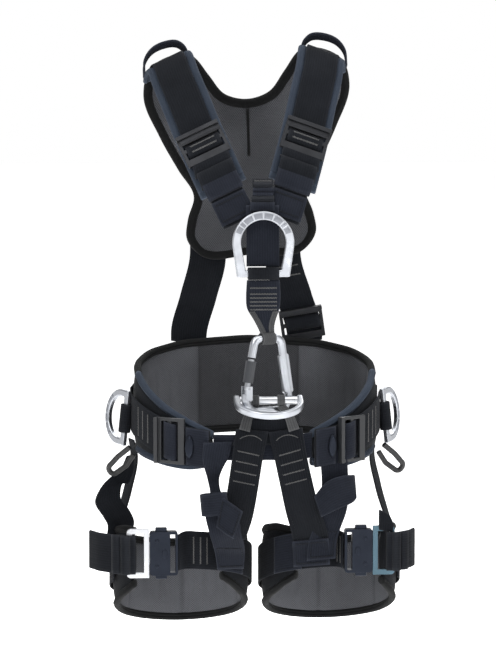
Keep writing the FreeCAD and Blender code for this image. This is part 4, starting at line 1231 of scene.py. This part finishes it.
def make_risers():
    for side, sign in SIDES:
        lean = 0.12 if side == "right" else -0.08
        stations = [((x, y, z), (1, twist, lean), width)
                    for x, y, z, width, twist in RISERS[side]]
        band = Band(stations)
        strap("riser_web_" + side, band, "webbing_black", nodes=("leg_riser_" + side,))
        half = 13
        sewing.bar(band, 6, -half, half, 1.3, curve=5, height=1.2)
        for along in (27, 39, 51, 63):
            sewing.bar(band, along, -half, half, 1.3, slant=-2 * sign, height=1.8)
        for edge in (-1, 1):
            sewing.seam(band, 10, band.length - 20, edge * 15.5, 1.2)
        if side == "right":
            patch = band.part(band.length - 32, band.length + 2, lift=2.3, width=44)
            strap("riser_patch_right", patch, "webbing_navy", thickness=2)
            box_stitch(patch, 4, patch.length - 4, 18, 1.2)
    hip = Band([((-52, -112, -36), (1, 0.1, 0), 34), ((-55, -112, -54), (1, 0.1, 0), 31),
                ((-57, -108, -68), (1, 0.3, 0), 22), ((-57, -103, -80), (1, 0.4, 0), 15),
                ((-54, -107, -98), (1, 0.2, 0), 14), ((-50, -115, -112), (1, 0, -0.2), 30),
                ((-48, -116, -122), (1, 0, -0.2), 39), ((-44, -111, -142), (1, 0.1, -0.2), 40),
                ((-39, -98, -159), (1, 0.3, -0.1), 40), ((-36, -83, -175), (1, 0.5, -0.1), 40),
                ((-35, -76, -192), (1, 0.6, -0.1), 38)])
    strap("hip_web_left", hip, "webbing_navy", nodes=("hip_strap_left",), ripple=1.2)
    box_stitch(hip, hip.length - 34, hip.length - 4, 16, 1.3)
    hip = Band([((84, -99, -50), (1, 0.35, 0.1), 34), ((85, -99, -64), (1, 0.3, 0.1), 34),
                ((86, -97, -80), (1, 0.25, 0.1), 33), ((86, -101, -100), (1, 0.1, 0.1), 34),
                ((82, -98, -126), (1, 0, 0.1), 34), ((77, -93, -142), (1, 0, 0.1), 34),
                ((73, -91, -156), (1, -0.1, 0.1), 34), ((71, -89, -180), (1, -0.15, 0.1), 34)])
    strap("hip_web_right", hip, "webbing_navy", nodes=("hip_strap_right",), ripple=1.0)
    box_stitch(hip, hip.length - 34, hip.length - 4, 13, 1.3)
    for side, sign in SIDES:
        rear = Band([((sign * 148, 22, -50), (0.3 * sign, 1, 0), 20),
                     ((sign * 145, 22, -66), (0.4 * sign, 1, 0), 20),
                     ((sign * 152, 22, -108), (0.5 * sign, 1, 0), 20),
                     ((sign * 165, 22, -152), (0.4 * sign, 1, 0), 20),
                     ((sign * 174, 22, -180), (0.3 * sign, 1, 0), 20),
                     ((sign * 177, 22, -200), (0.3 * sign, 1, 0), 20)], outward=-sign)
        strap("rear_web_" + side, rear, "webbing_black", nodes=("rear_riser_" + side,))
    wavy = Band([((-150, -4, -66), (0.6, 1, 0), 18), ((-153, -5, -80), (1, 0.7, -0.3), 18),
                 ((-161, -8, -93), (1, 0.3, -0.5), 23), ((-175, -14, -104), (1, 0.2, 0.3), 31),
                 ((-178, -18, -118), (1, 0, 0.2), 31), ((-168, -15, -134), (1, 0.1, 0.3), 32),
                 ((-162, -11, -148), (1, 0.2, 0.1), 33), ((-166, -10, -164), (1, 0.8, 0), 34),
                 ((-174, -9, -180), (0.5, 1, 0), 34), ((-179, -8, -194), (0.2, 1, 0), 34)])
    strap("side_web_left", wavy, "webbing_black", nodes=("side_riser_left",), ripple=1.0)


def make_back_straps():
    for side, sign in SIDES:
        top, foot = (-50, -73) if sign < 0 else (43, 72)
        points = [(top, 103, 182), (top, 104.5, 165), ((top + foot) / 2, 111, 115),
                  (foot, 119, 68), (foot, 121, 56)]
        band = Band([(point, (1, 0, 0.16 * sign), WEB_WIDTH) for point in points])
        strap("back_web_" + side, band, "webbing_black", nodes=("back_strap_" + side,),
              ripple=0.8)
        if sign > 0:
            for along in (30, 42):
                sewing.bar(band, along, -17, 17, 1.3)
            refined("back_strap_adjuster", "root", "adjuster_black")
            along = band.nearest(node_middle("back_strap_adjuster"))
            threaded("back_web_fold", band, along, "webbing_black")


# ---------------------------------------------------------------- leg loops

LEG_EDGES = [(0, 103), (60, 102), (96, 96), (120, 84), (144, 62), (200, 50)]
LEG_CENTRE, LEG_HALF_WIDTH, LEG_HALF_DEPTH = 90, 77, 73
LEG_WEB_LIFT = 8.3
BUCKLE_PLACE = Vector((114.5, -91, -169))
BUCKLE_WIDTH, TONGUE_GAP = 33, 0.6
TONGUE_REACH, TONGUE_BAR = 26, 6                # tongue's length, and its bar from the end
STRAP_FACE = 2.5 + 1 + 1.6                      # leg strap's middle, ahead of the buckle's
LEG_STRAP_SPARE = {"left": 48, "right": 32}     # strap left over outside each buckle


def leg_band(sign, angles, offset, low, high):
    stations = []
    for angle in angles:
        turn = math.radians(angle)
        x = LEG_CENTRE + (LEG_HALF_WIDTH + offset) * math.sin(turn)
        y = (LEG_HALF_DEPTH + offset) * math.cos(turn)
        half = between(LEG_EDGES, abs(angle))[0] / 2
        z_low, z_high = low(half), high(half)
        z = LEG_CENTRE_HEIGHT - LEG_SLOPE * y + (z_low + z_high) / 2
        stations.append(((sign * x, y, z), UP, z_high - z_low))
    return stations


def make_legs():
    inset = BINDING * 0.8
    wrap = [turn * GRID for turn in range(-12, 12)]
    for side, sign in SIDES:
        band = Band(leg_band(sign, wrap, 0, lambda half: inset - half,
                             lambda half: half - inset), outward=-sign)
        seams = [band.length * share for share in (0.27, 0.50, 0.72)]
        pad("leg_padding_" + side, "leg_pad_" + side, band, 10, 4.5, 16, 1.6, seams)
        for label, low, high in (
                ("upper", lambda half: half - BINDING, lambda half: half),
                ("lower", lambda half: -half, lambda half: BINDING - half)):
            rim = Band(leg_band(sign, wrap, 0, low, high), outward=-sign)
            edge_tape("leg_binding_%s_%s" % (label, side), rim, "binding_black",
                      "leg_binding_" + side)
        round_leg = [turn * GRID for turn in range(-15, 10)]
        stations = leg_band(sign, round_leg, LEG_WEB_LIFT, lambda half: -WEB_WIDTH / 2,
                            lambda half: WEB_WIDTH / 2)
        end = (sign * 97.2, BUCKLE_PLACE.y + 2, BUCKLE_PLACE.z)
        web = Band([(end, UP, WEB_WIDTH - 2)] + stations, outward=-sign)
        strap("leg_web_" + side, web, "webbing_black", nodes=("leg_webbing_" + side,))
        make_leg_front(side, web)
        make_buckle(side, sign)


def make_leg_front(side, web):
    """The navy patch in front, its side seams, and grey bars on the webbing."""
    patch = web.part(52, 92, lift=2.2, width=44)
    strap("leg_patch_" + side, patch, "webbing_navy", thickness=2)
    for edge in (-1, 1):
        sewing.seam(patch, 3, patch.length - 3, edge * 19, 1.2)
    for along in (22, 30, 38) if side == "left" else (4, 9):
        sewing.bar(web, along, -16, 16, 1.3, height=1.9)


def make_buckle(side, sign):
    refined("leg_buckle_" + side, "root", "gunmetal", bevel=1.3, corner=3.5)
    body = "leg_tongue_" + side
    refined("leg_tongue_" + side, body, "bright_steel" if sign < 0 else "blue_steel",
            bevel=1.1, corner=4.5)
    x0, y0, z0 = BUCKLE_PLACE
    for number, z in enumerate((z0 + 15, z0 - 15)):
        stud("buckle_rivet_%s_%d" % (side, number), (sign * (x0 + 8), y0 - 5.5, z),
             (0, -1, 0), 2.2, 0.9)
    stud("buckle_badge_" + side, (sign * (x0 - 1), y0 - 5.5, z0), (0, -1, 0), 5.6, 0.6,
         stretch=0.62)

    outer_bar = x0 + BUCKLE_WIDTH / 2 + TONGUE_GAP + TONGUE_REACH - TONGUE_BAR
    face = y0 - STRAP_FACE
    spare = LEG_STRAP_SPARE[side]
    points = [(sign * (outer_bar + x), face + y, z0 - 1) for x, y in (
        (-4, 0), (6, 0), (14, 6), (spare * 0.75, spare * 0.47), (spare, spare * 0.89))]
    tail = Band([(point, UP, 46) for point in points], outward=sign)
    strap("leg_strap_web_" + side, tail, "webbing_black", thickness=3.8, body=body,
          nodes=("leg_strap_" + side,), ripple=0.5)
    for number, (start, end, height) in enumerate(((7, 17, 4.5), (18, 30, 4.0))):
        folded("leg_strap_fold_%s_%d" % (side, number), tail, start, end, height,
               "webbing_black", width=46, body=body)


def stud(name, place, direction, radius, height, stretch=1.0):
    """A low domed rivet head or badge; stretch makes it oval across."""
    rings = [(1.0, 0.0), (1.0, 0.35), (0.93, 0.75), (0.7, 0.95), (0.35, 1.0)]
    direction = Vector(direction).normalized()
    side = direction.cross(UP).normalized()
    up = side.cross(direction)
    verts, layout = [], []
    count = 20
    for share, level in rings:
        for k in range(count):
            turn = 2 * math.pi * k / count
            spoke = side * math.cos(turn) * stretch + up * math.sin(turn)
            verts.append(Vector(place) + spoke * radius * share + direction * height * level)
            layout.append((turn * radius, level))
    piece = new_piece(name, verts, loft_faces(len(rings), count), layout)
    turned_in_out(piece)
    place_piece(dress(piece, "gunmetal"), "root")


# ---------------------------------------------------------------- metal parts

NODE_LOOKS = {
    "aluminium": ("sternal_ring", "dorsal_ring", "side_ring_left", "side_ring_right",
                  "ventral_ring", "carabiner_body"),
    "bright_steel": ("ventral_bar",),
    "steel_pin": ("gate_pin", "carabiner_gate"),
    "sleeve": ("carabiner_sleeve",),
    "gunmetal": ("leg_clip_upper_left", "leg_clip_lower_left", "leg_clip_upper_right",
                 "leg_clip_lower_right"),
    "rubber": ("gear_loop_left", "gear_loop_right"),
}


def ring_segments(name, centre, right, up, out, radius, width, body, turns):
    """Shallow engraved plates along a ring's arch; turns are their (start, end) in degrees."""
    centre, right, up, out = (Vector(v) for v in (centre, right, up, out))
    verts, layout, faces = [], [], []
    for start, end in turns:
        count = max(2, int((end - start) / 3)) + 1
        base = len(verts)
        for k in range(count):
            turn = math.radians(start + (end - start) * k / (count - 1))
            spoke = right * math.cos(turn) + up * math.sin(turn)
            for reach, height in ((-width / 2, -0.4), (-width / 2, 0.0), (-width / 2 + 0.4, 0.22),
                                  (width / 2 - 0.4, 0.22), (width / 2, 0.0), (width / 2, -0.4)):
                verts.append(centre + spoke * (radius + reach) + out * height)
                layout.append((reach, math.radians(turn) * radius))
        faces += loft_faces(count, 6, base)
    piece = new_piece(name, verts, faces, layout)
    turned_in_out(piece)
    place_piece(dress(piece, "engraved"), body)


SIDE_RING_TURN = math.radians(62)           # how far the side rings point backwards


def mark_rings():
    spans = [(20, 34), (37, 44), (47, 66), (70, 88), (92, 110), (114, 133), (136, 143),
             (146, 160)]
    ring_segments("sternal_ring_marks", (0, -121, 196), (1, 0, 0), (0, 0, 1), (0, -1, 0), 30.7,
                  6.4, "sternal_ring", spans)
    for side, sign in SIDES:
        middle_of_bar, bar = (Vector(v) for v in side_bar(sign))
        outward = Vector((sign * math.cos(SIDE_BAR_LEAN), 0, math.sin(SIDE_BAR_LEAN)))
        arch = outward * math.cos(SIDE_RING_TURN) + Vector((0, 1, 0)) * math.sin(SIDE_RING_TURN)
        face = bar.cross(arch) * sign
        centre = middle_of_bar + arch * 12
        for label, way in (("outer", 1), ("inner", -1)):
            ring_segments("side_ring_marks_%s_%s" % (label, side), centre + face * 3 * way,
                          bar, arch, face * way, 29, 4.6, "side_ring_" + side, spans[1:-1])


def finish_metal():
    for look, names in NODE_LOOKS.items():
        for name in names:
            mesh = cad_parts[name].data
            mesh.materials.clear()
            mesh.materials.append(MATERIALS[look])


# ---------------------------------------------------------------- the whole harness

add_camera()
make_materials()
add_studio()
make_back()
make_back_straps()
make_shoulders()
make_belt()
make_chest()
make_ventral()
make_risers()
make_keepers()
make_legs()
finish_metal()
mark_rings()
sewing.make()
